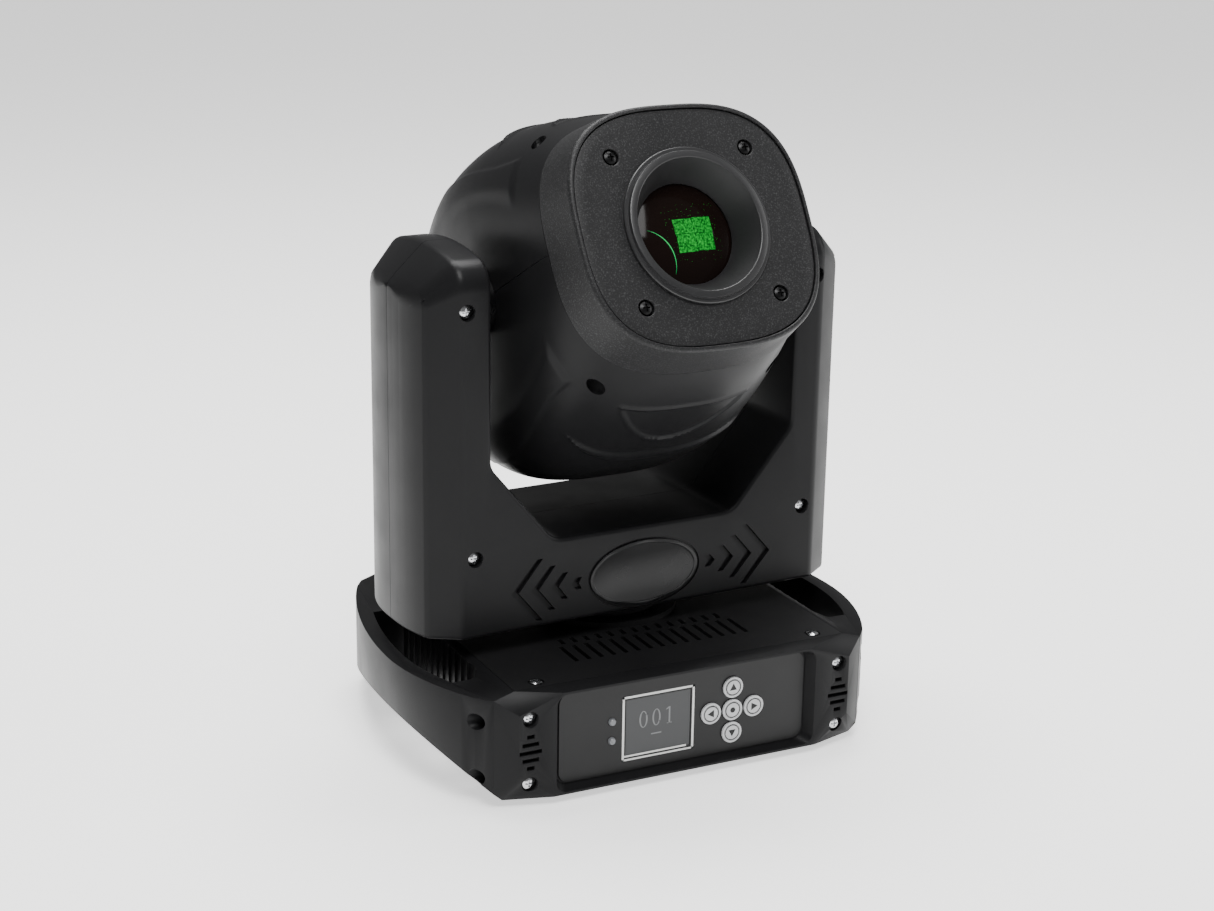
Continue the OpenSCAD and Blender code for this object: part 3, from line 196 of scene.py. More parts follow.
class Surface(Enum):
    """The finishes of the object's own pieces."""

    # ABS moulded against a spark-eroded tool: dark, soft highlights along every rounded edge
    MOULDED_ABS = Finish("moulded_abs", "171718", 0.36, "case_black", specular=0.12, grain_mm=0.5,
                         grain_depth=0.1)
    # ABS with a coarse textured face; its grey haze of sparkle is painted as light specks in the colour
    TEXTURED_ABS = Finish("textured_abs", "161617", 0.5, "face_black", specular=0.28, grain_mm=0.7,
                          grain_depth=0.3, glint_colour="343435", glint_mm=0.75)
    # steel sheet under flat powder coat: nearly no highlight, fine orange peel
    POWDER_COAT = Finish("powder_coated_steel", "141415", 0.52, "sheet_black", specular=0.25, grain_mm=0.8,
                         grain_depth=0.15)
    # zinc plated steel: dull grey metal
    ZINC_STEEL = Finish("zinc_plated_steel", "a4a6a8", 0.38, "zinc_steel", metallic=1.0, grain_mm=1.2,
                        grain_depth=0.05)
    # nickel plated screw: bright, small sharp highlights
    NICKEL_SCREW = Finish("nickel_plated_screw", "c9cacc", 0.2, "bright_steel", metallic=1.0, wear=0.03)
    # black oxide screw: dark with a metal glint
    OXIDE_SCREW = Finish("black_oxide_screw", "0b0b0c", 0.32, "black_steel", metallic=0.3, wear=0.05)
    ALUMINIUM = Finish("milled_aluminium", "b9bbbd", 0.34, "alu", metallic=1.0, grain_mm=0.6,
                       grain_depth=0.05)
    # anodised collar: satin black metal
    ANODISED = Finish("black_anodised_aluminium", "202021", 0.38, "black_alu", specular=0.5, grain_mm=0.5,
                      grain_depth=0.05)
    BRONZE = Finish("sintered_bronze", "9a7440", 0.45, "bronze", metallic=1.0)
    RUBBER = Finish("moulded_rubber", "131313", 0.75, "rubber", grain_mm=0.6, grain_depth=0.2)
    # printed polyester film over the panel: satin black
    PANEL_FILM = Finish("printed_polyester_film", "101011", 0.36, "overlay", specular=0.3, grain_mm=0.4,
                        grain_depth=0.06)
    # unlit liquid crystal display behind its window: cool grey with a soft sheen
    DISPLAY = Finish("display_window", "3f4041", 0.25, "lcd", specular=0.3, wear=0.03)
    DISPLAY_INK = Finish("display_segment", "747576", 0.35, "lcd", wear=0.0)
    WHITE_INK = Finish("white_screen_ink", "d6d6d4", 0.5, "overlay", wear=0.0)
    DARK_INK = Finish("dark_screen_ink", "1c1c1c", 0.5, "overlay", wear=0.0)
    # silver lacquered keys
    SILVER_KEY = Finish("silver_lacquered_key", "b9babb", 0.4, "silver_plastic", specular=0.5, grain_mm=0.4,
                        grain_depth=0.05)
    LAMP = Finish("clear_lamp_epoxy", "6e7073", 0.15, "lamp_clear", coat=0.5, wear=0.0)
    CIRCUIT = Finish("solder_mask", "1c4a30", 0.4, "board_green")
    SOCKET = Finish("glass_filled_nylon", "121213", 0.5, "socket_black", grain_mm=0.6, grain_depth=0.15)
    MOTOR = Finish("motor_enamel", "1d1d1f", 0.4, "motor_black")
    BADGE = Finish("smooth_badge", "131314", 0.3, "badge_black", grain_mm=0.5, grain_depth=0.05)
    # coated lens: nearly black with a cool sheen, since the dark head lies behind it
    LENS = Finish("coated_lens_glass", "140d0b", 0.08, "lens_glass", specular=0.1, wear=0.0)
    # image of the four chips seen through the lens; its glow is painted light, as this sheet over the lens is
    # no lamp
    CHIP_IMAGE = Finish("green_chip_image", "003d08", 0.5, "emitter", specular=0.1, glow=0.6,
                        glow_colour="10f050", glow_mm=1.0, wear=0.0)
    # painted reflection: a thin glowing green arc stands for a reflection in the lens
    LENS_ARC = Finish("green_lens_arc", "1f9c46", 0.3, "emitter", glow=0.3, glow_colour="2ad07e", wear=0.0)
    CLEAR_GLASS = Finish("polished_glass", "dfe8ea", 0.05, "clear_glass", transmission=0.9, wear=0.0)
    FILTER = Finish("dichroic_disc", "5a3c86", 0.15, "filter_glass", metallic=0.5)


class Workshop:
    """Makes meshes and hands finished pieces over to the frame."""

    _materials: dict[str, bpy.types.Material] = {}

    @classmethod
    def material(cls, surface: Surface) -> bpy.types.Material:
        """Give the material of a surface, built on first use.

        Args:
            surface: The surface wanted.

        Returns:
            Its material.
        """
        if surface.name not in cls._materials:
            cls._materials[surface.name] = surface.value.build()
        return cls._materials[surface.name]

    @classmethod
    def hand_over(cls, piece: bpy.types.Object, body: str, surface: Surface | None = None,
                  stands_for: Sequence[str] = ()) -> bpy.types.Object:
        """Dress a finished piece and let it ride on its body.

        Args:
            piece: The object, at the origin.
            body: The CAD body that it moves with.
            surface: Its finish, or None if its slots are filled.
            stands_for: CAD nodes that it replaces.

        Returns:
            The same piece.
        """
        if surface is not None:
            piece.data.materials.clear()
            piece.data.materials.append(cls.material(surface))
        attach(piece, body)
        if stands_for:
            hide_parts(*stands_for)
        LOG.info("%s rides on %s, %d faces", piece.name, body, len(piece.data.polygons))
        return piece

    @staticmethod
    def link(name: str, mesh: bpy.types.Mesh) -> bpy.types.Object:
        """Link a mesh to the scene as an object at the origin."""
        piece = bpy.data.objects.new(name, mesh)
        bpy.context.scene.collection.objects.link(piece)
        return piece

    @classmethod
    def piece(cls, name: str, points: np.ndarray, faces: Sequence[Sequence[int]],
              angle: float = 35.0) -> bpy.types.Object:
        """Make an object from points and faces, with its normals out and smooth below an angle.

        Args:
            name: The piece's name.
            points: Corners in metres, in the row frame.
            faces: Corner numbers of each face.
            angle: Edges sharper than this many degrees stay sharp.

        Returns:
            The object at the origin.
        """
        mesh = bpy.data.meshes.new(name)
        mesh.from_pydata([tuple(map(float, p)) for p in points], [], [tuple(f) for f in faces])
        return cls.link(name, cls.close(mesh, angle))

    @staticmethod
    def close(mesh: bpy.types.Mesh, angle: float) -> bpy.types.Mesh:
        """Merge doubles, turn faces out and shade smooth below an angle in degrees."""
        body = bmesh.new()
        body.from_mesh(mesh)
        bmesh.ops.remove_doubles(body, verts=body.verts, dist=1e-6)
        bmesh.ops.recalc_face_normals(body, faces=body.faces)
        body.to_mesh(mesh)
        body.free()
        mesh.shade_smooth()
        mesh.set_sharp_from_angle(angle=math.radians(angle))
        return mesh

    @classmethod
    def settle(cls, piece: bpy.types.Object, name: str, angle: float = 35.0) -> bpy.types.Object:
        """Turn an object with modifiers into a plain mesh object and drop the first one.

        Args:
            piece: The object with its modifiers.
            name: Name of the result.
            angle: Edges sharper than this many degrees stay sharp.

        Returns:
            The plain object at the origin.
        """
        graph = bpy.context.evaluated_depsgraph_get()
        mesh = bpy.data.meshes.new_from_object(piece.evaluated_get(graph), depsgraph=graph)
        mesh.name = name
        bpy.data.objects.remove(piece)
        mesh.shade_smooth()
        mesh.set_sharp_from_angle(angle=math.radians(angle))
        return cls.link(name, mesh)


@dataclass(frozen=True)
class Datum:
    """A local frame of a moving body, with its origin on the body's axis."""

    matrix: Matrix

    def spot(self, x: float, y: float, z: float) -> Vector:
        """Give the row frame point of a local point in millimetres."""
        return self.matrix @ (Vector((x, y, z)) * MM)

    def place(self, points: Sequence[Sequence[float]]) -> np.ndarray:
        """Move local points in millimetres to the row frame in metres.

        Args:
            points: Rows of x, y and z in millimetres.

        Returns:
            The same rows in metres, in the row frame.
        """
        local = np.asarray(points, float) * MM
        turn = np.array(self.matrix.to_3x3())
        return local @ turn.T + np.array(self.matrix.translation)

    def extent(self, *nodes: str) -> tuple[Vector, Vector]:
        """Measure CAD nodes along this frame.

        Args:
            *nodes: Names of the nodes.

        Returns:
            Lowest and highest corner in millimetres.
        """
        rows = np.array([v.co for n in nodes for v in frame["nodes"][n].data.vertices], float)
        turn = np.array(self.matrix.to_3x3())
        local = (rows - np.array(self.matrix.translation)) @ turn / MM
        return Vector(local.min(0)), Vector(local.max(0))


def joint(name: str) -> dict:
    """Find one of the frame's joints by name."""
    return next(j for j in frame["joints"] if j["name"] == name)


def yoke_datum() -> Datum:
    """Frame of the yoke: X along the tilt axis, Z up, origin on the pan axis."""
    x = Vector(joint("tilt")["axis"])
    z = Vector((0, 0, 1))
    return Datum(Matrix((x, z.cross(x), z)).transposed().to_4x4())


def head_datum() -> Datum:
    """Frame of the head: X along the tilt axis, -Y forward along the lens, origin on the tilt axis."""
    x = Vector(joint("tilt")["axis"])
    y = -Vector(joint("focus_slide")["axis"])
    turn = Matrix((x, y, x.cross(y))).transposed().to_4x4()
    return Datum(Matrix.Translation(Vector(joint("tilt")["pos_m"])) @ turn)


BASE = Datum(Matrix.Identity(4))
YOKE = yoke_datum()
HEAD = head_datum()


def arc(cx: float, cy: float, r: float, start: float, end: float, steps: int) -> list[tuple[float, float]]:
    """List the points of an arc.

    Args:
        cx: Centre, first coordinate.
        cy: Centre, second coordinate.
        r: Radius.
        start: First angle in degrees.
        end: Last angle in degrees.
        steps: Number of chords.

    Returns:
        Points from start to end.
    """
    turns = [math.radians(start + (end - start) * i / steps) for i in range(steps + 1)]
    return [(cx + r * math.cos(t), cy + r * math.sin(t)) for t in turns]


def around(n: int, radius: float = 1.0) -> list[tuple[float, float]]:
    """Points evenly round a circle."""
    turns = (2 * math.pi * i / n for i in range(n))
    return [(radius * math.cos(turn), radius * math.sin(turn)) for turn in turns]


def walls(start: int, n: int) -> list[tuple[int, ...]]:
    """Number the quads between two rings of points that follow each other.

    Args:
        start: Number of the first ring's first point.
        n: Points in each ring.

    Returns:
        One quad for each point of a ring.
    """
    return [(start + i, start + (i + 1) % n, start + n + (i + 1) % n, start + n + i) for i in range(n)]


def prism(start: int, n: int) -> list[tuple[int, ...]]:
    """Number the two ends and the walls of a prism whose two rings of points follow each other."""
    return [tuple(range(start, start + n)), tuple(range(start + n, start + 2 * n)), *walls(start, n)]


def superellipse(a: float, b: float, power: float, turn: float) -> tuple[float, float]:
    """Point of a rounded box outline at an angle in radians."""
    c, s = math.cos(turn), math.sin(turn)
    return (a * math.copysign(abs(c) ** (2 / power), c), b * math.copysign(abs(s) ** (2 / power), s))


class FinishedNodes:
    """Dresses CAD nodes, and gives those with visible edges a merged copy with softened ones."""

    def soften(self, node: str, body: str, surface: Surface, width: float, segments: int = 2,
               angle: float = 30.0, flat: float = 0.6) -> bpy.types.Object:
        """Replace a CAD node by a merged copy whose edges are rounded.

        Args:
            node: The CAD node.
            body: The body it rides on.
            surface: Its finish.
            width: Width of the rounding in millimetres.
            segments: Steps across the rounding.
            angle: Edges sharper than this many degrees are rounded.
            flat: Faces within this many degrees are joined first.

        Returns:
            The new piece.
        """
        mesh = frame["nodes"][node].data.copy()
        solid = bmesh.new()
        solid.from_mesh(mesh)
        bmesh.ops.remove_doubles(solid, verts=solid.verts, dist=2e-6)
        bmesh.ops.dissolve_limit(solid, angle_limit=math.radians(flat), verts=solid.verts, edges=solid.edges)
        solid.to_mesh(mesh)
        solid.free()
        mesh.materials.clear()
        draft = Workshop.link(f"{node}_draft", mesh)
        bevel = draft.modifiers.new("edge", "BEVEL")
        bevel.width, bevel.segments = width * MM, segments
        bevel.limit_method, bevel.angle_limit = "ANGLE", math.radians(angle)
        bevel.miter_outer = "MITER_ARC"
        bevel.use_clamp_overlap = True
        piece = Workshop.settle(draft, f"{node}_finished", 40)
        return Workshop.hand_over(piece, body, surface, [node])

    def dress(self, surface: Surface, *nodes: str) -> None:
        """Give CAD nodes a finish as they stand."""
        for node in nodes:
            data = frame["nodes"][node].data
            data.materials.clear()
            data.materials.append(Workshop.material(surface))
            LOG.info("%s dressed as %s", node, surface.value.name)


@dataclass
class YokeShells:
    """The two moulded halves of the yoke: one rounded body with a throat, split down the middle."""

    face_x: float = 107.0
    edge_x: float = 122.5
    side_depth: float = 34.0
    floor_half: float = 54.0
    throat_rise: float = 43.5
    throat_round: float = 10.0
    crown: float = 3.0
    corner: float = 16.0
    arm_drop: float = 14.5
    rim: float = 2.2
    seam: float = 0.15
    chevron_tip: tuple[float, ...] = (79.3, 67.6, 55.9, 44.1)
    chevron_rise: tuple[float, ...] = (17.1, 12.2, 7.3, 3.3)
    chevron_wide: float = 3.4
    arm_x: float = 90.5
    bottom: float = field(init=False)
    top: float = field(init=False)
    depth: float = field(init=False)
    half: float = field(init=False)
    floor: float = field(init=False)

    def __post_init__(self) -> None:
        """Take the outer sizes from the frame."""
        low, high = YOKE.extent("yoke_front_shell")
        self.bottom, self.top, self.depth, self.half = low.z, high.z, -low.y, high.x
        self.floor = self.bottom + 47.0

    def profile(self, x: float, half: float, top: float, corner: float) -> list[tuple[float, float, float]]:
        """Side outline of the body at one station: rounded top corners and a crowned top.

        Args:
            x: The station along the tilt axis.
            half: Half depth of the outline.
            top: Its greatest height.
            corner: Radius of its top corners.

        Returns:
            Points of the outline.
        """
        bend = arc(half - corner, top - self.crown - corner, corner, 0, 78, 20)
        end_y, end_z = bend[-1]
        crest = [(end_y * (1 - i / 8), top - (top - end_z) * (1 - i / 8) ** 2) for i in range(1, 9)]
        right = [(half, self.bottom), *bend, *crest]
        return [(x, s * y, z) for s in (-1, 1) for y, z in right]

    def body(self) -> bpy.types.Object:
        """Make the whole body before it is split, with its throat cut and its edges rounded.

        Returns:
            The plain body.
        """
        points: list[tuple[float, float, float]] = []
        side_top = self.top - self.arm_drop
        bulge = self.half - self.edge_x
        for s in (-1, 1):
            points += self.profile(s * self.face_x, self.depth, self.top, self.corner)
            for share in (1.0, 0.96, 0.9, 0.8, 0.7, 0.55, 0.4, 0.2):
                out = bulge * (1 - share**2.6)
                points += self.profile(s * (self.edge_x + out), self.side_depth * share,
                                       side_top - 1.1 * out, 10 * share)
        mesh = bpy.data.meshes.new("yoke_body")
        solid = bmesh.new()
        for point in YOKE.place(points):
            solid.verts.new(point)
        hull = bmesh.ops.convex_hull(solid, input=solid.verts)
        loose = {v for v in hull["geom_interior"] + hull["geom_unused"] if isinstance(v, bmesh.types.BMVert)}
        bmesh.ops.delete(solid, geom=list(loose), context="VERTS")
        bmesh.ops.dissolve_limit(solid, angle_limit=math.radians(0.3), verts=solid.verts, edges=solid.edges)
        solid.to_mesh(mesh)
        solid.free()
        draft = Workshop.link("yoke_body_draft", Workshop.close(mesh, 28))
        cutter = self.throat_cutter()
        cut = draft.modifiers.new("throat", "BOOLEAN")
        cut.operation, cut.object, cut.solver = "DIFFERENCE", cutter, "EXACT"
        bevel = draft.modifiers.new("edges", "BEVEL")
        bevel.width, bevel.segments = self.rim * MM, 4
        bevel.limit_method, bevel.angle_limit = "ANGLE", math.radians(24)
        bevel.use_clamp_overlap = False
        piece = Workshop.settle(draft, "yoke_body", 28)
        bpy.data.objects.remove(cutter)
        return piece

    def throat_cutter(self) -> bpy.types.Object:
        """Prism of the space between the arms, with rounded corners at the crossbar."""
        rise = self.floor + self.throat_rise
        slope = Vector((self.floor_half - self.arm_x, -self.throat_rise)).normalized()
        half = [(self.arm_x, self.top + 20), (self.arm_x, rise + 12)]
        half += self._turn(Vector((self.arm_x, rise)), Vector((0, -1)), slope, self.throat_round * 0.7)
        half += self._turn(Vector((self.floor_half, self.floor)), slope, Vector((-1, 0)), self.throat_round)
        outline = half + [(-x, z) for x, z in reversed(half)]
        n = len(outline)
        points = [(x, y, z) for y in (-60.0, 60.0) for x, z in outline]
        faces = [tuple(range(n)), tuple(range(n, 2 * n))]
        faces += [(i, (i + 1) % n, n + (i + 1) % n, n + i) for i in range(n)]
        return Workshop.piece("throat_cutter", YOKE.place(points), faces)

    def half_shell(self, name: str, body: bpy.types.Object, front: bool) -> bpy.types.Object:
        """Cut one half out of the body.

        Args:
            name: Name of the piece.
            body: The whole body.
            front: True for the half with the badge.

        Returns:
            The closed half.
        """
        sign = -1 if front else 1
        axis = Vector(YOKE.matrix.col[1][:3]) * sign
        solid = bmesh.new()
        solid.from_mesh(body.data)
        parts = solid.verts[:] + solid.edges[:] + solid.faces[:]
        cut = bmesh.ops.bisect_plane(
            solid, geom=parts, dist=1e-7, plane_co=axis * self.seam * MM, plane_no=axis, clear_inner=True
        )
        rim = [part for part in cut["geom_cut"] if isinstance(part, bmesh.types.BMEdge)]
        bmesh.ops.triangle_fill(solid, edges=rim, use_beauty=True)
        bmesh.ops.recalc_face_normals(solid, faces=solid.faces)
        mesh = bpy.data.meshes.new(name)
        solid.to_mesh(mesh)
        solid.free()
        return Workshop.link(name, mesh)

    @staticmethod
    def _turn(at: Vector, before: Vector, after: Vector, radius: float) -> list[tuple[float, float]]:
        """Round the corner of a path.

        Args:
            at: The corner.
            before: Direction of the path before it.
            after: Direction after it.
            radius: How far the rounding reaches along both legs, roughly.

        Returns:
            Points of the rounded corner.
        """
        a, c = at - before * radius * 0.6, at + after * radius * 0.6
        return [tuple(a * (1 - t) ** 2 + at * 2 * t * (1 - t) + c * t**2) for t in (i / 6 for i in range(7))]

    def chevron_cutter(self) -> bpy.types.Object:
        """Prisms of the eight arrow slots of the front face."""
        points: list[tuple[float, float, float]] = []
        faces: list[tuple[int, ...]] = []
        badge_z = self.bottom + 47.0 * 0.44
        for side in (-1, 1):
            for tip, rise in zip(self.chevron_tip, self.chevron_rise):
                end, w = tip - rise * 0.88, self.chevron_wide
                outline = [(tip, 0), (end, rise), (end - w, rise), (tip - w * 1.3, 0), (end - w, -rise),
                           (end, -rise)]
                start = len(points)
                for y in (-self.depth - 2, -self.depth + 2.2):
                    points += [(side * x, y, badge_z + z) for x, z in outline]
                n = len(outline)
                faces += [(start, start + 1, start + 2, start + 3), (start, start + 3, start + 4, start + 5)]
                faces += [(start + n, start + n + 3, start + n + 2, start + n + 1),
                          (start + n, start + n + 5, start + n + 4, start + n + 3)]
                faces += walls(start, n)
        return Workshop.piece("chevron_cutter", YOKE.place(points), faces)

    def tube_cutter(self, places: Sequence[tuple[float, float]], radius: float, depth: float, sign: int,
                    squash: float = 1.0) -> bpy.types.Object:
        """Cylinders that sink into the front or rear face.

        Args:
            places: x and z of each axis.
            radius: Radius along x.
            depth: How deep they sink.
            sign: -1 for the front face, 1 for the rear.
            squash: Radius along z as a share of the other.

        Returns:
            One object with every cylinder.
        """
        points: list[tuple[float, float, float]] = []
        faces: list[tuple[int, ...]] = []
        n = 48
        for x, z in places:
            start = len(points)
            for y in (sign * (self.depth + 2), sign * (self.depth - depth)):
                points += [(x + u, y, z + squash * v) for u, v in around(n, radius)]
            faces += prism(start, n)
        return Workshop.piece("tube_cutter", YOKE.place(points), faces)

    def build(self) -> None:
        """Make both shells with their slots, screw wells and badge seat."""
        low, high = YOKE.extent("yoke_badge")
        middle, a, b = (low.z + high.z) / 2, (high.x - low.x) / 2, (high.z - low.z) / 2
        screws = [(s * x, z) for s in (-1, 1) for x, z in self._screw_places()]
        body = self.body()
        for name, front in (("yoke_front_shell", True), ("yoke_rear_shell", False)):
            draft = self.half_shell(f"{name}_draft", body, front)
            sign = -1 if front else 1
            cutters = [self.tube_cutter(screws, 4.3, 4.0, sign)]
            if front:
                cutters += [self.chevron_cutter(),
                            self.tube_cutter([(0.0, middle)], a + 1.4, 0.9, sign, (b + 1.4) / (a + 1.4))]
            else:
                cutters.append(self._vents(sign))
            for cutter in cutters:
                cut = draft.modifiers.new("cut", "BOOLEAN")
                cut.operation, cut.object, cut.solver = "DIFFERENCE", cutter, "EXACT"
            piece = Workshop.settle(draft, f"{name}_moulded", 28)
            for cutter in cutters:
                bpy.data.objects.remove(cutter)
            Workshop.hand_over(piece, "yoke", Surface.MOULDED_ABS, [name])
        bpy.data.objects.remove(body)

    def _screw_places(self) -> list[tuple[float, float]]:
        """Axes of the two screws of the right arm, from the shells' screws."""
        return [(99.6, self.floor - 3.9), (103.7, self.floor + 119 + 6.7)]

    def _vents(self, sign: int) -> bpy.types.Object:
        """Row of upright vent slots of the rear face."""
        points: list[tuple[float, float, float]] = []
        faces: list[tuple[int, ...]] = []
        pitch, half, foot, head = 12, 1.5, 12, 35
        slot = ((-half, foot), (half, foot), (half, head), (-half, head))
        for i in range(-4, 5):
            start = len(points)
            for y in (sign * (self.depth + 2), sign * (self.depth - 2.4)):
                points += [(i * pitch + x, y, self.bottom + z) for x, z in slot]
            faces += prism(start, len(slot))
        return Workshop.piece("vent_cutter", YOKE.place(points), faces)


@dataclass
class HeadShells:
    """The two moulded halves of the head body, with a plaque, a crescent, screw wells and a groove."""

    flare: float = 3.5
    wall: float = 2.2
    across: int = 250
    along: int = 150
    parting: float = 0.25
    back: float = 92.0
    screw_x: float = 51.6
    screw_l: float = 57.4
    well_radius: float = 4.3
    well_depth: float = 6.0
    half_width: float = field(init=False)
    half_height: float = field(init=False)
    seam: float = field(init=False)
    face_a: float = field(init=False)
    face_b: float = field(init=False)

    def __post_init__(self) -> None:
        """Take the head's sizes from the frame."""
        low, high = HEAD.extent("head_upper_shell")
        self.half_width, self.half_height, self.seam = high.x, high.z, -low.y
        low, high = HEAD.extent("head_band")
        self.face_a, self.face_b = high.x - self.flare, high.z - self.flare

    def height(self, l: float) -> float:
        """Half height of the body at distance l in front of the tilt axis."""
        b = self.half_height
        if l > -20:
            return b - (b - self.face_b - self.flare) * ((l + 20) / (self.seam + 20)) ** 1.9
        return b - b * 0.27 * ((-20 - l) / (self.back - 20)) ** 2.6

    def width(self, l: float) -> float:
        """Half width of the body at distance l in front of the tilt axis."""
        a = self.half_width
        if l > 0:
            return a - (a - self.face_a - self.flare) * (l / self.seam) ** 1.6
        return a - a * 0.12 * (-l / self.back) ** 2.6

    def power(self, l: float) -> float:
        """Squareness of the section at distance l."""
        return 3.1 - 0.3 * l / self.back

    def relief(self, x: float, l: float) -> float:
        """Height of the moulded relief over the plain body.

        Args:
            x: Distance from the middle plane.
            l: Distance in front of the tilt axis.

        Returns:
            Millimetres outwards, negative for a groove.
        """
        raised = 0.0
        # crescent ridge: between two arcs that meet at its tips
        span = 1 - (x / 55) ** 2
        if span > 0:
            outer, inner = 17 - 19 * span, 17 - 8.5 * span
            middle, reach = (outer + inner) / 2, max(0.6, (inner - outer) / 2)
            raised += 1.5 * smooth(1.25 - abs(l - middle) / reach) * min(1.0, span * 3)
        # half moon plaque with a fine rim
        inside = min(50.5 - l, l - (22 + 25.5 * (x / 35) ** 2))
        raised -= 0.7 * smooth(inside / 1.5 + 0.5) * (1 if abs(x) < 38 else 0)
        raised += 0.9 * math.exp(-((inside / 1.1) ** 2)) * (1 if abs(x) < 38 else 0)
        # flowing groove behind the screw
        if -78 < l < 53:
            path = 57 + 6.5 * math.cos((l - 25) / 48) + 0.0022 * (l - 20) ** 2 * (1 if l > 20 else 0) * -1
            fade = smooth((l + 78) / 10) * smooth((53 - l) / 6)
            raised += 0.9 * smooth((abs(x) - path) / 1.6 + 0.5) * fade * smooth((71 - abs(x)) / 3)
        return raised

    def even_turns(self, a: float, b: float, power: float, start: float) -> np.ndarray:
        """Angles of the outline that lie at even distances, so that the relief is equally fine everywhere."""
        turns = np.linspace(start, math.pi - start, 4000)
        c, s = np.cos(turns), np.sin(turns)
        x, z = a * np.sign(c) * np.abs(c) ** (2 / power), b * s ** (2 / power)
        length = np.concatenate([[0.0], np.cumsum(np.hypot(np.diff(x), np.diff(z)))])
        return np.interp(np.linspace(0.0, length[-1], self.across + 1), length, turns)

    def rise(self, x: float, l: float) -> float:
        """Height of the plain body over a point of the middle plane."""
        p = self.power(l)
        return self.height(l) * (1 - (abs(x) / self.width(l)) ** p) ** (1 / p)

    def well_cups(self) -> None:
        """Line the four wells of the shell screws with short tubes that end flush with the sloping shell."""
        n, seat = 64, self.rise(self.screw_x, self.screw_l) - self.well_depth
        points: list[tuple[float, float, float]] = []
        faces: list[tuple[int, ...]] = []
        for side in (-1, 1):
            for s in (-1, 1):
                start = len(points)
                outer, inner = self.well_radius, 5.2
                for radius, flush in ((outer, False), (outer, True), (inner, True), (inner, False)):
                    for u, v in around(n, radius):
                        x, l = self.screw_x + u, self.screw_l + v
                        z = self.rise(x, l) - 0.12 if flush else seat - 3
                        points.append((s * x, -l, side * z))
                for j, below in enumerate((start, start + n, start + 2 * n, start + 3 * n)):
                    above = start + (j + 1) % 4 * n
                    turns = [(i, (i + 1) % n) for i in range(n)]
                    faces += [(below + i, below + k, above + k, above + i) for i, k in turns]
        Workshop.hand_over(Workshop.piece("screw_wells", HEAD.place(points), faces, 40), "head",
                           Surface.MOULDED_ABS)

    def well_cutter(self, side: int) -> bpy.types.Object:
        """Upright cylinders of the two screw wells of one half."""
        n = 64
        points: list[tuple[float, float, float]] = []
        faces: list[tuple[int, ...]] = []
        for s in (-1, 1):
            start = len(points)
            for z in (30.0, 110.0):
                ring = around(n, self.well_radius)
                points += [(s * self.screw_x + u, -self.screw_l + v, side * z) for u, v in ring]
            faces += prism(start, n)
        return Workshop.piece("well_cutter", HEAD.place(points), faces)

    def shell(self, name: str, side: int) -> bpy.types.Object:
        """Build one half shell as a closed wall.

        Args:
            name: Name of the piece.
            side: 1 above the parting line, -1 below.

        Returns:
            The shell.
        """
        n, m = self.across, self.along
        start = (self.parting / self.half_height) ** (self.power(0) / 2)
        outer = np.zeros((m + 1, n + 1, 3))
        inner = np.zeros((m + 1, n + 1, 3))
        for k in range(m + 1):
            l = self.seam - (self.seam + self.back) * k / m
            a, b, p = self.width(l), self.height(l), self.power(l)
            for i, turn in enumerate(self.even_turns(a, b, p, start)):
                x, z = superellipse(a, b, p, turn)
                normal = Vector((math.copysign(abs(x / a) ** (p - 1) / a, x),
                                 abs(z / b) ** (p - 1) / b)).normalized()
                lift = self.relief(x, l) if z > 0.25 * b else 0.0
                outer[k, i] = (x + normal.x * lift, -l, side * (z + normal.y * lift))
                inner[k, i] = (x - normal.x * self.wall, -l,
                               side * (max(0.0, z - normal.y * self.wall) + 0.0))
        inner[:, (0, n), 2] = outer[:, (0, n), 2]
        grid = (m + 1) * (n + 1)
        points = HEAD.place(np.concatenate([outer.reshape(-1, 3), inner.reshape(-1, 3)]))
        number = lambda k, i, skin: skin * grid + k * (n + 1) + i
        faces = [(number(k, i, s), number(k, i + 1, s), number(k + 1, i + 1, s), number(k + 1, i, s))
                 for s in (0, 1) for k in range(m) for i in range(n)]
        faces += [(number(k, i, 0), number(k, i + 1, 0), number(k, i + 1, 1), number(k, i, 1))
                  for k in (0, m) for i in range(n)]
        faces += [(number(k, i, 0), number(k + 1, i, 0), number(k + 1, i, 1), number(k, i, 1))
                  for i in (0, n) for k in range(m)]
        return Workshop.piece(name, points, faces, 40)

    def build(self) -> None:
        """Make both half shells, with the hub opening cut through their sides."""
        for name, side in (("head_upper_shell", 1), ("head_lower_shell", -1)):
            draft = self.shell(f"{name}_draft", side)
            cutters = [self._hub_cutter(16.7), self.well_cutter(side)]
            for cutter in cutters:
                cut = draft.modifiers.new("cut", "BOOLEAN")
                cut.operation, cut.object, cut.solver = "DIFFERENCE", cutter, "EXACT"
            piece = Workshop.settle(draft, f"{name}_moulded", 40)
            for cutter in cutters:
                bpy.data.objects.remove(cutter)
            Workshop.hand_over(piece, "head", Surface.MOULDED_ABS, [name])
        self.well_cups()

    def _hub_cutter(self, radius: float) -> bpy.types.Object:
        """Cylinder along the tilt axis that opens the sides for the hubs."""
        n = 48
        points = [(x, y, z) for x in (-90.0, 90.0) for y, z in around(n, radius)]
        return Workshop.piece("hub_cutter", HEAD.place(points), prism(0, n))


def smooth(t: float) -> float:
    """Soft step from 0 at t = 0 to 1 at t = 1."""
    t = min(1.0, max(0.0, t))
    return t * t * (3 - 2 * t)


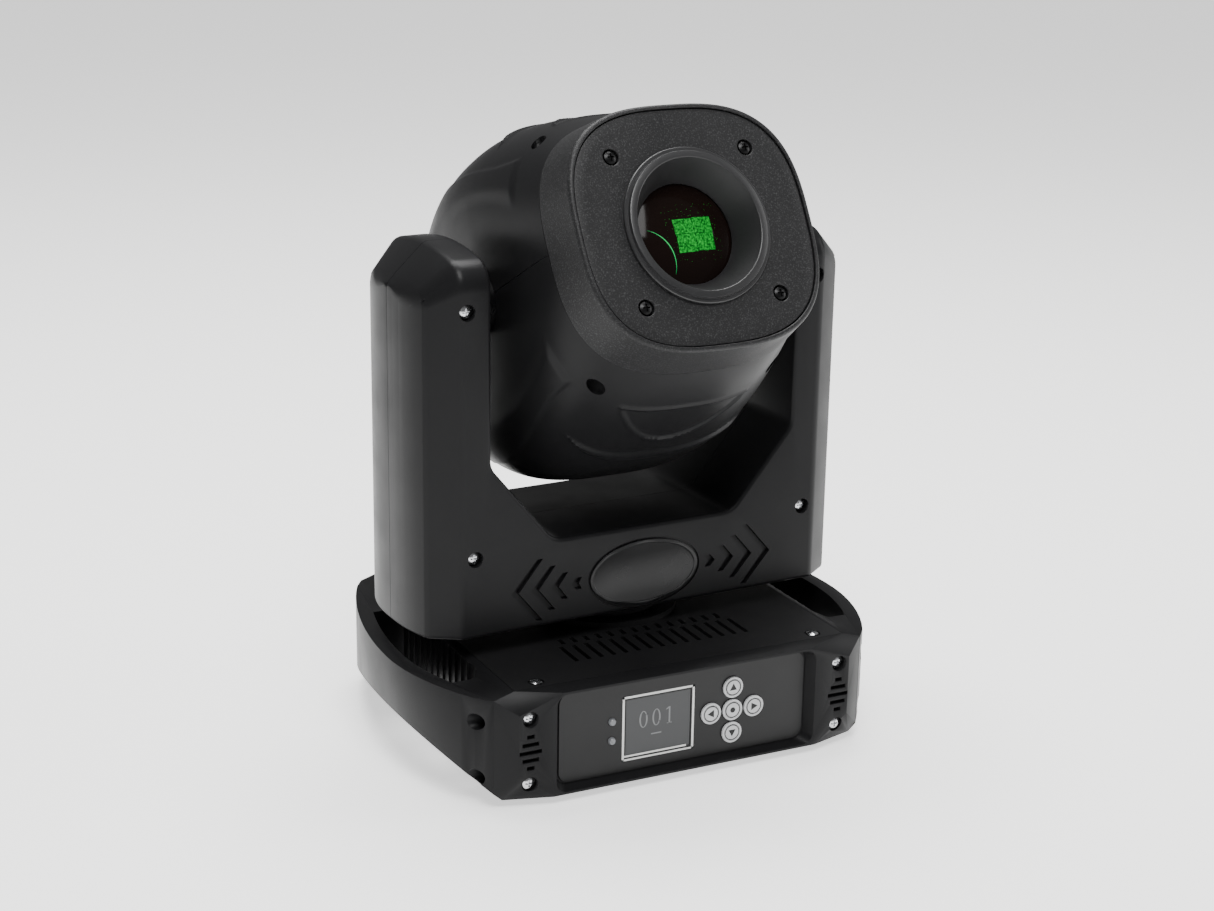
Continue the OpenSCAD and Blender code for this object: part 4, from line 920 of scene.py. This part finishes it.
@dataclass
class PanelMarks:
    """Printed marks of the control panel: display rim, digits and key arrows."""

    line: float = 1.2
    proud: float = 0.08

    def __post_init__(self) -> None:
        """Find the panel's front and its pieces."""
        self.front = BASE.extent("display_overlay")[0].y

    def plate(self, outlines: Sequence[Sequence[tuple[float, float]]], y: float,
              thick: float) -> tuple[list, list]:
        """Turn flat outlines into thin plates.

        Args:
            outlines: Convex outlines of x and z.
            y: Depth of their backs.
            thick: Their thickness towards the front.

        Returns:
            Points and faces.
        """
        points: list[tuple[float, float, float]] = []
        faces: list[tuple[int, ...]] = []
        for outline in outlines:
            start, n = len(points), len(outline)
            points += [(x, y, z) for x, z in outline] + [(x, y - thick, z) for x, z in outline]
            faces += prism(start, n)
        return points, faces

    @staticmethod
    def box(x0: float, z0: float, x1: float, z1: float) -> list[tuple[float, float]]:
        """Outline of a rectangle."""
        return [(x0, z0), (x1, z0), (x1, z1), (x0, z1)]

    def frame_lines(self) -> list[list[tuple[float, float]]]:
        """White rim round the display, doubled at its foot."""
        low, high = BASE.extent("display_module")
        cx, cz = (low.x + high.x) / 2, (low.z + high.z) / 2
        a, b, w = (high.x - low.x) / 2, (high.z - low.z) / 2, self.line
        x0, x1, z0, z1 = cx - a, cx + a, cz - b, cz + b
        return [self.box(x0, z0, x1, z0 + w * 0.8), self.box(x0, z1 - w, x1, z1),
                self.box(x0, z0, x0 + w, z1),
                self.box(x1 - w, z0, x1, z1), self.box(x0 + w, z0 + w * 1.7, x1 - w * 3.6, z0 + w * 2.5)]

    @staticmethod
    def nought(cx: float, cz: float, wide: float, high: float) -> list[list[tuple[float, float]]]:
        """Outline of a nought, with heavier flanks than head and foot.

        Args:
            cx: Its middle.
            cz: Its middle height.
            wide: Its width.
            high: Its height.

        Returns:
            The pieces of the ring.
        """
        n, flank, head = 32, 0.9, 0.45
        outer = [(cx + wide / 2 * c, cz + high / 2 * s) for c, s in around(n)]
        inner = [(cx + (wide / 2 - flank) * c, cz + (high / 2 - head) * s) for c, s in around(n)]
        return [[outer[i], outer[(i + 1) % n], inner[(i + 1) % n], inner[i]] for i in range(n)]

    def digits(self) -> list[list[tuple[float, float]]]:
        """Unlit number on the display, with a footed one, and the short line below it."""
        low, high = BASE.extent("display_module")
        cx, cz = (low.x + high.x) / 2 - 1, (low.z + high.z) / 2 + 3.5
        wide, tall, pitch = 4.8, 9.4, 7.6
        marks = self.nought(cx - pitch, cz, wide, tall) + self.nought(cx, cz, wide, tall)
        x0, foot, head = cx + pitch - 0.45, cz - tall / 2, cz + tall / 2
        marks += [self.box(x0, foot, x0 + 0.9, head), self.box(x0 - 1.0, foot, x0 + 1.9, foot + 0.4)]
        marks += [[(x0, head), (x0 - 1.5, head - 1.1), (x0 - 1.5, head - 1.6), (x0, head - 1.0)]]
        return marks + [self.box(cx - 3, foot - 4.6, cx + 3, foot - 3.9)]

    def build(self) -> None:
        """Make the marks of the display and of the five keys."""
        points, faces = self.plate(self.frame_lines(), self.front + 0.02, self.proud)
        Workshop.hand_over(Workshop.piece("display_rim_print", BASE.place(points), faces), "base",
                           Surface.WHITE_INK)
        glass = BASE.extent("display_module")[0].y
        points, faces = self.plate(self.digits(), glass + 0.02, 0.06)
        Workshop.hand_over(Workshop.piece("display_digits", BASE.place(points), faces), "base",
                           Surface.DISPLAY_INK)
        arrows = {"button_up": 90, "button_right": 0, "button_down": -90, "button_left": 180}
        for node, turn in {**arrows, "button_ok": None}.items():
            low, high = BASE.extent(node)
            cx, cz, y = (low.x + high.x) / 2, (low.z + high.z) / 2, low.y
            ring = []
            n, r0, r1 = 40, 3.9, 4.35
            for i in range(n):
                a, b = 2 * math.pi * i / n, 2 * math.pi * (i + 1) / n
                ring.append([(cx + r0 * math.cos(a), cz + r0 * math.sin(a)),
                             (cx + r1 * math.cos(a), cz + r1 * math.sin(a)),
                             (cx + r1 * math.cos(b), cz + r1 * math.sin(b)),
                             (cx + r0 * math.cos(b), cz + r0 * math.sin(b))])
            if turn is None:
                mark = [[(cx + u, cz + v) for u, v in around(24, 1.5)]]
            else:
                corners = ((2.3, 0.0), (-1.5, 2.1), (-1.5, -2.1))
                c, s = math.cos(math.radians(turn)), math.sin(math.radians(turn))
                mark = [[(cx + u * c - v * s, cz + u * s + v * c) for u, v in corners]]
            points, faces = self.plate(mark + ring, y + 0.02, 0.07)
            Workshop.hand_over(Workshop.piece(f"{node}_mark", BASE.place(points), faces), node,
                               Surface.DARK_INK)


@dataclass
class HeadFront:
    """Front band, face plate, collar and lens of the head, drawn as fine closed loops of rings."""

    power: float = 2.9
    steps: int = 288
    flare: float = 3.5
    seam: float = 75.5
    screw: float = 38.5

    def __post_init__(self) -> None:
        """Take the head's front sizes from the frame."""
        low, high = HEAD.extent("head_band")
        self.a, self.b, self.face = high.x - self.flare, high.z - self.flare, -low.y

    def outline(self, inset: float, l: float) -> list[tuple[float, float, float]]:
        """Rounded outline of the front, drawn in by an amount, at distance l along the lens axis."""
        turns = np.linspace(0, 2 * math.pi, self.steps, endpoint=False)
        outline = (superellipse(self.a - inset, self.b - inset, self.power, t) for t in turns)
        return [(x, -l, z) for x, z in outline]

    def circle(self, radius: float, l: float) -> list[tuple[float, float, float]]:
        """Circle round the lens axis, its points facing those of the outline."""
        outline = self.outline(0, l)
        return [(radius * x / math.hypot(x, z), -l, radius * z / math.hypot(x, z)) for x, _, z in outline]

    def loop(self, name: str, rings: Sequence[Sequence[tuple[float, float, float]]],
             angle: float = 30.0) -> bpy.types.Object:
        """Join rings into a closed surface; the last ring meets the first."""
        n, m = self.steps, len(rings)
        faces = [(k * n + i, k * n + (i + 1) % n, ((k + 1) % m) * n + (i + 1) % n, ((k + 1) % m) * n + i)
                 for k in range(m) for i in range(n)]
        return Workshop.piece(name, HEAD.place([p for ring in rings for p in ring]), faces, angle)

    def band(self) -> None:
        """Flared front band with a soft front edge, a thin rim and a groove round the plate."""
        face, back, round_r = self.face, self.seam, 2.4
        edge = [(round_r * (1 - math.cos(t)) * 0.8, face - round_r * (1 - math.sin(t)))
                for t in (math.radians(a) for a in range(0, 91, 15))]
        path = [(0.5 - self.flare, back), (-self.flare, back + 0.5)]
        path += [(-self.flare * (1 - k / 6),
                  back + 0.5 + (face - round_r - back - 0.5) * k / 6) for k in range(1, 6)]
        path += [(inset, l) for inset, l in edge]
        path += [(2.3, face), (2.65, face - 0.3), (2.8, face - 3.6), (2.8, face - 5),
                 (-self.flare + 2.5, back)]
        self.hand(self.loop("head_band_fine", [self.outline(i, l) for i, l in path]), Surface.TEXTURED_ABS,
                  "head_band")

    def plate(self) -> None:
        """Flat face plate with its round opening and four screw wells."""
        l = self.face - 0.8
        rings = [self.outline(3.2, l - 3), self.outline(3.2, l - 0.5), self.outline(3.35, l - 0.15),
                 self.outline(3.7, l)]
        outer, inner = np.array(rings[-1]), np.array(self.circle(37.5, l))
        rings += [[tuple(p) for p in outer + (inner - outer) * k / 5] for k in range(1, 5)]
        rings += [self.circle(37.5, l), self.circle(37.5, l - 3)]
        draft = self.loop("face_plate_draft", rings)
        n = 48
        points: list[tuple[float, float, float]] = []
        faces: list[tuple[int, ...]] = []
        for x in (-self.screw, self.screw):
            for z in (-self.screw, self.screw):
                start = len(points)
                for at in (l - 5, l - 0.35, l + 2):
                    radius = 4.3 if at < l else 6.8
                    points += [(x + u, -at, z + v) for u, v in around(n, radius)]
                faces += [tuple(range(start, start + n)), tuple(range(start + 2 * n, start + 3 * n))]
                faces += walls(start, n) + walls(start + n, n)
        cutter = Workshop.piece("plate_cutter", HEAD.place(points), faces)
        cut = draft.modifiers.new("wells", "BOOLEAN")
        cut.operation, cut.object, cut.solver = "DIFFERENCE", cutter, "EXACT"
        piece = Workshop.settle(draft, "face_plate_fine", 30)
        bpy.data.objects.remove(cutter)
        self.hand(piece, Surface.TEXTURED_ABS, "face_plate")

    def collar(self) -> None:
        """Turned collar: flat flange, raised ring with broken edges and a cone down to the lens."""
        face, lens = self.face, self.face - 14
        path = [(25.8, lens - 5), (25.8, lens - 4), (27.0, lens - 4), (27.0, lens), (26.3, lens + 0.6),
                (26.6, lens + 1.3)]
        path += [(26.6 + 7.6 * k / 8, lens + 1.3 + (face + 2.3 - lens - 1.3) * k / 8) for k in range(1, 9)]
        path += [(34.4, face + 2.75), (34.8, face + 3), (37.6, face + 3), (38.05, face + 2.8),
                 (38.2, face + 2.3),
                 (38.5, face + 1.3), (40.1, face + 1.2), (40.5, face + 0.8), (40.5, face - 0.8),
                 (37.3, face - 0.8),
                 (37.3, face - 8.8), (30.0, lens - 5)]
        self.hand(self.loop("lens_collar_fine", [self.circle(r, l) for r, l in path]), Surface.ANODISED,
                  "lens_collar")

    def glass(self) -> None:
        """Domed front lens."""
        radius, back, dome = 26.9, self.face - 14 - 3.9, 4.5
        path = [(0.02, back), (radius * 0.6, back), (radius, back), (radius, back + 3.2)]
        path += [(radius * (1 - k / 20), back + 3.2 + dome * (1 - (1 - k / 20) ** 2)) for k in range(1, 20)]
        path += [(0.02, back + 3.2 + dome)]
        self.hand(self.loop("front_lens_fine", [self.circle(r, l) for r, l in path]), Surface.LENS,
                  "front_lens")

    def hand(self, piece: bpy.types.Object, surface: Surface, node: str) -> None:
        """Hand a piece of the head over in place of its CAD node."""
        Workshop.hand_over(piece, "head", surface, [node])

    def build(self) -> None:
        """Make all four pieces."""
        self.band()
        self.plate()
        self.collar()
        self.glass()


class Repeats:
    """Geometry node trees for what repeats, each turned into one plain mesh."""

    @staticmethod
    def tree(name: str, inputs: dict[str, str]) -> tuple[bpy.types.NodeTree, bpy.types.Node, dict[str, str]]:
        """Start a geometry tree with named inputs.

        Args:
            name: Name of the tree.
            inputs: Socket type of each input by its name.

        Returns:
            The tree, its input node and the identifier of each input.
        """
        tree = bpy.data.node_groups.new(name, "GeometryNodeTree")
        tree.interface.new_socket("Geometry", in_out="INPUT", socket_type="NodeSocketGeometry")
        keys = {}
        for key, kind in inputs.items():
            keys[key] = tree.interface.new_socket(key, in_out="INPUT", socket_type=kind).identifier
        tree.interface.new_socket("Geometry", in_out="OUTPUT", socket_type="NodeSocketGeometry")
        return tree, tree.nodes.new("NodeGroupInput"), keys

    @staticmethod
    def end(tree: bpy.types.NodeTree, instances: bpy.types.NodeSocket, surface: Surface) -> None:
        """Realize the instances, give them their finish and end the tree."""
        real = add_node(tree, "GeometryNodeRealizeInstances", Geometry=instances)
        dressed = add_node(tree, "GeometryNodeSetMaterial", Geometry=real.outputs["Geometry"],
                           Material=Workshop.material(surface))
        add_node(tree, "NodeGroupOutput", i0=dressed.outputs["Geometry"])

    @staticmethod
    def grow(name: str, carrier: bpy.types.Object, tree: bpy.types.NodeTree, values: dict[str, float],
             body: str, surface: Surface) -> bpy.types.Object:
        """Run a tree on a carrier mesh and hand the result over.

        Args:
            name: Name of the piece.
            carrier: The mesh that the repeats stand on; it is used up.
            tree: The geometry tree.
            values: Value of each input by its identifier.
            body: The body that the piece rides on.
            surface: Its finish; not used here, as the tree sets it.

        Returns:
            The piece.
        """
        grown = carrier.modifiers.new("repeats", "NODES")
        grown.node_group = tree
        for key, value in values.items():
            grown[key] = value
        piece = Workshop.settle(carrier, name, 40)
        return Workshop.hand_over(piece, body)

    def sparks(self, carrier: bpy.types.Object) -> None:
        """Scatter painted glints, small bright grains of light, over a patch of the lens dome."""
        tree, start, keys = self.tree("lens_sparks", {"Density": "NodeSocketFloat", "Size": "NodeSocketFloat",
                                                      "Seed": "NodeSocketInt"})
        points = add_node(tree, "GeometryNodeDistributePointsOnFaces", Mesh=start.outputs["Geometry"],
                          Density=start.outputs["Density"], Seed=start.outputs["Seed"])
        grain = add_node(tree, "GeometryNodeMeshIcoSphere", Radius=1.0, Subdivisions=2)
        spread = add_node(tree, "FunctionNodeRandomValue", {"data_type": "FLOAT"}, i2=0.35, i3=1.0,
                          Seed=start.outputs["Seed"])
        size = add_node(tree, "ShaderNodeMath", {"operation": "MULTIPLY"}, i0=spread.outputs[1],
                        i1=start.outputs["Size"])
        flat = add_node(tree, "ShaderNodeCombineXYZ", X=size.outputs[0], Y=size.outputs[0])
        thin = add_node(tree, "ShaderNodeMath", {"operation": "MULTIPLY"}, i0=size.outputs[0], i1=0.3)
        tree.links.new(thin.outputs[0], flat.inputs["Z"])
        copies = add_node(tree, "GeometryNodeInstanceOnPoints", Points=points.outputs["Points"],
                          Instance=grain.outputs["Mesh"],
                          Rotation=points.outputs["Rotation"], Scale=flat.outputs["Vector"])
        self.end(tree, copies.outputs["Instances"], Surface.CHIP_IMAGE)
        self.grow("lens_sparks", carrier, tree,
                  {keys["Density"]: 1.6e5, keys["Size"]: 0.17 * MM, keys["Seed"]: 11},
                  "head", Surface.CHIP_IMAGE)


@dataclass
class LensImage:
    """What shows in the lens, painted as glowing sheets: the magnified image of four chips, bright grains of
    light and a thin reflected arc.
    """

    left: float = -7.3
    right: float = 14.6
    low: float = -9.8
    high: float = 7.0
    gap: float = 0.12

    def __post_init__(self) -> None:
        """Find the dome of the lens."""
        low, high = HEAD.extent("front_lens")
        self.front, self.radius = -low.y, (high.x - low.x) / 2

    def dome(self, x: float, z: float, over: float = 0.06) -> tuple[float, float, float]:
        """Point just over the glass."""
        return (x, -(self.front + over - 4.5 * (x * x + z * z) / self.radius**2), z)

    def patch(self, boxes: Sequence[tuple[float, float, float, float]], n: int = 8) -> bpy.types.Object:
        """Sheets over the dome, one for each box of x and z."""
        points: list[tuple[float, float, float]] = []
        faces: list[tuple[int, ...]] = []
        for x0, z0, x1, z1 in boxes:
            start = len(points)
            points += [self.dome(x0 + (x1 - x0) * i / n,
                                 z0 + (z1 - z0) * j / n) for j in range(n + 1) for i in range(n + 1)]
            faces += [(start + j * (n + 1) + i, start + j * (n + 1) + i + 1,
                       start + (j + 1) * (n + 1) + i + 1,
                       start + (j + 1) * (n + 1) + i) for j in range(n) for i in range(n)]
        return Workshop.piece("patch", HEAD.place(points), faces)

    def build(self) -> None:
        """Make the chip image, the grains and the arc."""
        mid_x, mid_z, g = (self.left + self.right) / 2, (self.low + self.high) / 2 + 0.6, self.gap
        # glowing sheets over the dome: painted light of the chips' image
        chips = self.patch([(self.left, mid_z + g, mid_x - g, self.high),
                            (mid_x + g, mid_z + g, self.right, self.high + 0.3),
                            (self.left + 0.4, self.low - 0.4, mid_x - g, mid_z - g),
                            (mid_x + g, self.low, self.right - 0.3, mid_z - g)])
        Workshop.hand_over(self._thicken(chips, "chip_image"), "head", Surface.CHIP_IMAGE)
        # painted glints: bright grains of light scattered over the dome
        Repeats().sparks(self.patch([(-12, -15, 19, 15)], 6))
        # painted reflection: thin glowing arc over the dome
        points: list[tuple[float, float, float]] = []
        n = 40
        for i in range(n + 1):
            turn = math.radians(-18 + 84 * i / n)
            wide = 0.28 * math.sin(math.pi * (i + 0.6) / (n + 1.2))
            for r in (19.5 - wide, 19.5 + wide):
                points.append(self.dome(-29.2 + r * math.cos(turn), -14.3 + r * math.sin(turn)))
        faces = [(2 * i, 2 * i + 1, 2 * i + 3, 2 * i + 2) for i in range(n)]
        draft = Workshop.piece("lens_arc_draft", HEAD.place(points), faces)
        Workshop.hand_over(self._thicken(draft, "lens_arc"), "head", Surface.LENS_ARC)

    @staticmethod
    def _thicken(draft: bpy.types.Object, name: str) -> bpy.types.Object:
        """Give a thin sheet a wall, so that it is closed."""
        wall = draft.modifiers.new("wall", "SOLIDIFY")
        wall.thickness, wall.offset = 0.00008, 0
        return Workshop.settle(draft, name)


@dataclass
class Studio:
    """Pale floor, soft lights and the camera."""

    azimuth: float = -26.62
    elevation: float = 17.07
    roll: float = 0.94
    distance: float = 1.209
    focal_px: float = 2222.5
    sensor: float = 36.0

    def floor(self) -> None:
        """Lay the floor at the height of the feet."""
        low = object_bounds()[0]
        size = 8.0
        mesh = bpy.data.meshes.new("floor")
        mesh.from_pydata([(-size, -size, low.z), (size, -size, low.z), (size, size, low.z),
                          (-size, size, low.z)], [], [(0, 1, 2, 3)])
        piece = Workshop.link("floor", mesh)
        material = bpy.data.materials.new("pale_floor")
        material.use_nodes = True
        shader = material.node_tree.nodes["Principled BSDF"]
        shader.inputs["Base Color"].default_value = linear("f4f4f3")
        shader.inputs["Roughness"].default_value = 0.7
        # a lit white sweep: the polished faces pick up its soft light from below
        shader.inputs["Emission Color"].default_value = linear("ffffff")
        shader.inputs["Emission Strength"].default_value = 1.0
        mesh.materials.append(material)
        piece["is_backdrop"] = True

    def light(self, name: str, at: Vector, to: Vector, size: tuple[float, float], power: float) -> None:
        """Hang a soft box.

        Args:
            name: Name of the light.
            at: Where it hangs.
            to: The point that it faces.
            size: Width and height in metres.
            power: Power in watts.
        """
        data = bpy.data.lights.new(name, "AREA")
        data.shape, data.size, data.size_y, data.energy = "RECTANGLE", size[0], size[1], power
        lamp = bpy.data.objects.new(name, data)
        bpy.context.scene.collection.objects.link(lamp)
        lamp.location = at
        lamp.rotation_mode = "QUATERNION"
        lamp.rotation_quaternion = (at - to).to_track_quat("Z", "Y")

    def lights(self) -> None:
        """Set the world and the soft boxes."""
        world = bpy.data.worlds.new("studio")
        world.use_nodes = True
        background = world.node_tree.nodes["Background"]
        background.inputs["Color"].default_value = linear("ffffff")
        background.inputs["Strength"].default_value = 0.22
        bpy.context.scene.world = world
        aim = Vector((0, 0, 0.16))
        self.light("key_box", Vector((-0.3, -0.9, 1.8)), aim, (0.9, 0.9), 34)
        self.light("side_box", Vector((1.5, -0.5, 0.7)), aim, (0.5, 1.2), 8)
        self.light("top_box", Vector((0.1, 0.5, 1.7)), aim, (1.4, 0.8), 44)

    def camera(self) -> None:
        """Set the camera at the viewing angle, aimed at the middle of the object."""
        a, e = math.radians(self.azimuth), math.radians(self.elevation)
        back = Vector((math.sin(a) * math.cos(e), -math.cos(a) * math.cos(e), math.sin(e)))
        data = bpy.data.cameras.new("camera")
        data.sensor_width = self.sensor
        data.lens = self.focal_px * self.sensor / IMAGE_WIDTH
        data.clip_start, data.clip_end = 0.05, 50
        camera = bpy.data.objects.new("camera", data)
        bpy.context.scene.collection.objects.link(camera)
        target = Vector((0.0008, 0, 0.1432))
        camera.rotation_mode = "QUATERNION"
        turn = (-back).to_track_quat("-Z", "Y").to_matrix() @ Matrix.Rotation(math.radians(self.roll), 3, "Z")
        camera.rotation_quaternion = turn.to_quaternion()
        camera.location = target + back * self.distance
        bpy.context.scene.camera = camera

    def build(self) -> None:
        """Set up floor, lights and camera."""
        self.camera()
        self.floor()
        self.lights()


def dress_nodes() -> None:
    """Finish the CAD nodes that keep their own shape."""
    nodes = FinishedNodes()
    for node, surface, width in (
        ("front_bezel", Surface.MOULDED_ABS, 0.4), ("rear_panel", Surface.MOULDED_ABS, 0.4),
        ("left_handle", Surface.MOULDED_ABS, 1.0), ("right_handle", Surface.MOULDED_ABS, 1.0),
    ):
        nodes.soften(node, "base", surface, width)
    nodes.soften("rear_cap", "head", Surface.MOULDED_ABS, 1.2, 3)
    nodes.soften("yoke_badge", "yoke", Surface.BADGE, 0.25)
    for name in ("up", "down", "left", "right", "ok"):
        nodes.soften(f"button_{name}", f"button_{name}", Surface.SILVER_KEY, 0.25)
    nodes.dress(Surface.POWDER_COAT, "chassis_tray", "base_cover", "pan_post")
    nodes.dress(Surface.PANEL_FILM, "display_overlay")
    nodes.dress(Surface.DISPLAY, "display_module")
    nodes.dress(Surface.LAMP, "status_lamps")
    nodes.dress(Surface.CIRCUIT, "control_board", "power_supply", "driver_board")
    nodes.dress(Surface.RUBBER, "rubber_feet", "pan_belt", "tilt_belt")
    nodes.dress(Surface.SOCKET, "mains_inlet", "dmx_input", "dmx_output", "fan_housing", "fan_rotor")
    nodes.dress(Surface.NICKEL_SCREW, "base_screws", "yoke_screws")
    nodes.dress(Surface.OXIDE_SCREW, "handle_screws", "head_screws", "gobo_wheel", "head_frame", "tilt_hubs")
    nodes.dress(Surface.ZINC_STEEL, "yoke_frame", "focus_rods")
    nodes.dress(Surface.ALUMINIUM, "pan_pulley", "pan_motor_pulley", "tilt_motor_pulley", "tilt_pulley",
                "heatsink")
    nodes.dress(Surface.BRONZE, "pan_bush", "tilt_bushes")
    nodes.dress(Surface.MOTOR, "pan_motor", "tilt_motor", "effect_motors")
    nodes.dress(Surface.ANODISED, "focus_carriage")
    nodes.dress(Surface.CLEAR_GLASS, "condenser")
    nodes.dress(Surface.FILTER, "colour_wheel")
    nodes.dress(Surface.LAMP, "led_module")


def main() -> None:
    """Build the whole scene."""
    logging.basicConfig(level=logging.INFO, format="%(name)s: %(message)s")
    Studio().build()
    dress_nodes()
    YokeShells().build()
    HeadShells().build()
    HeadFront().build()
    PanelMarks().build()
    LensImage().build()


if __name__ == "__main__":
    main()
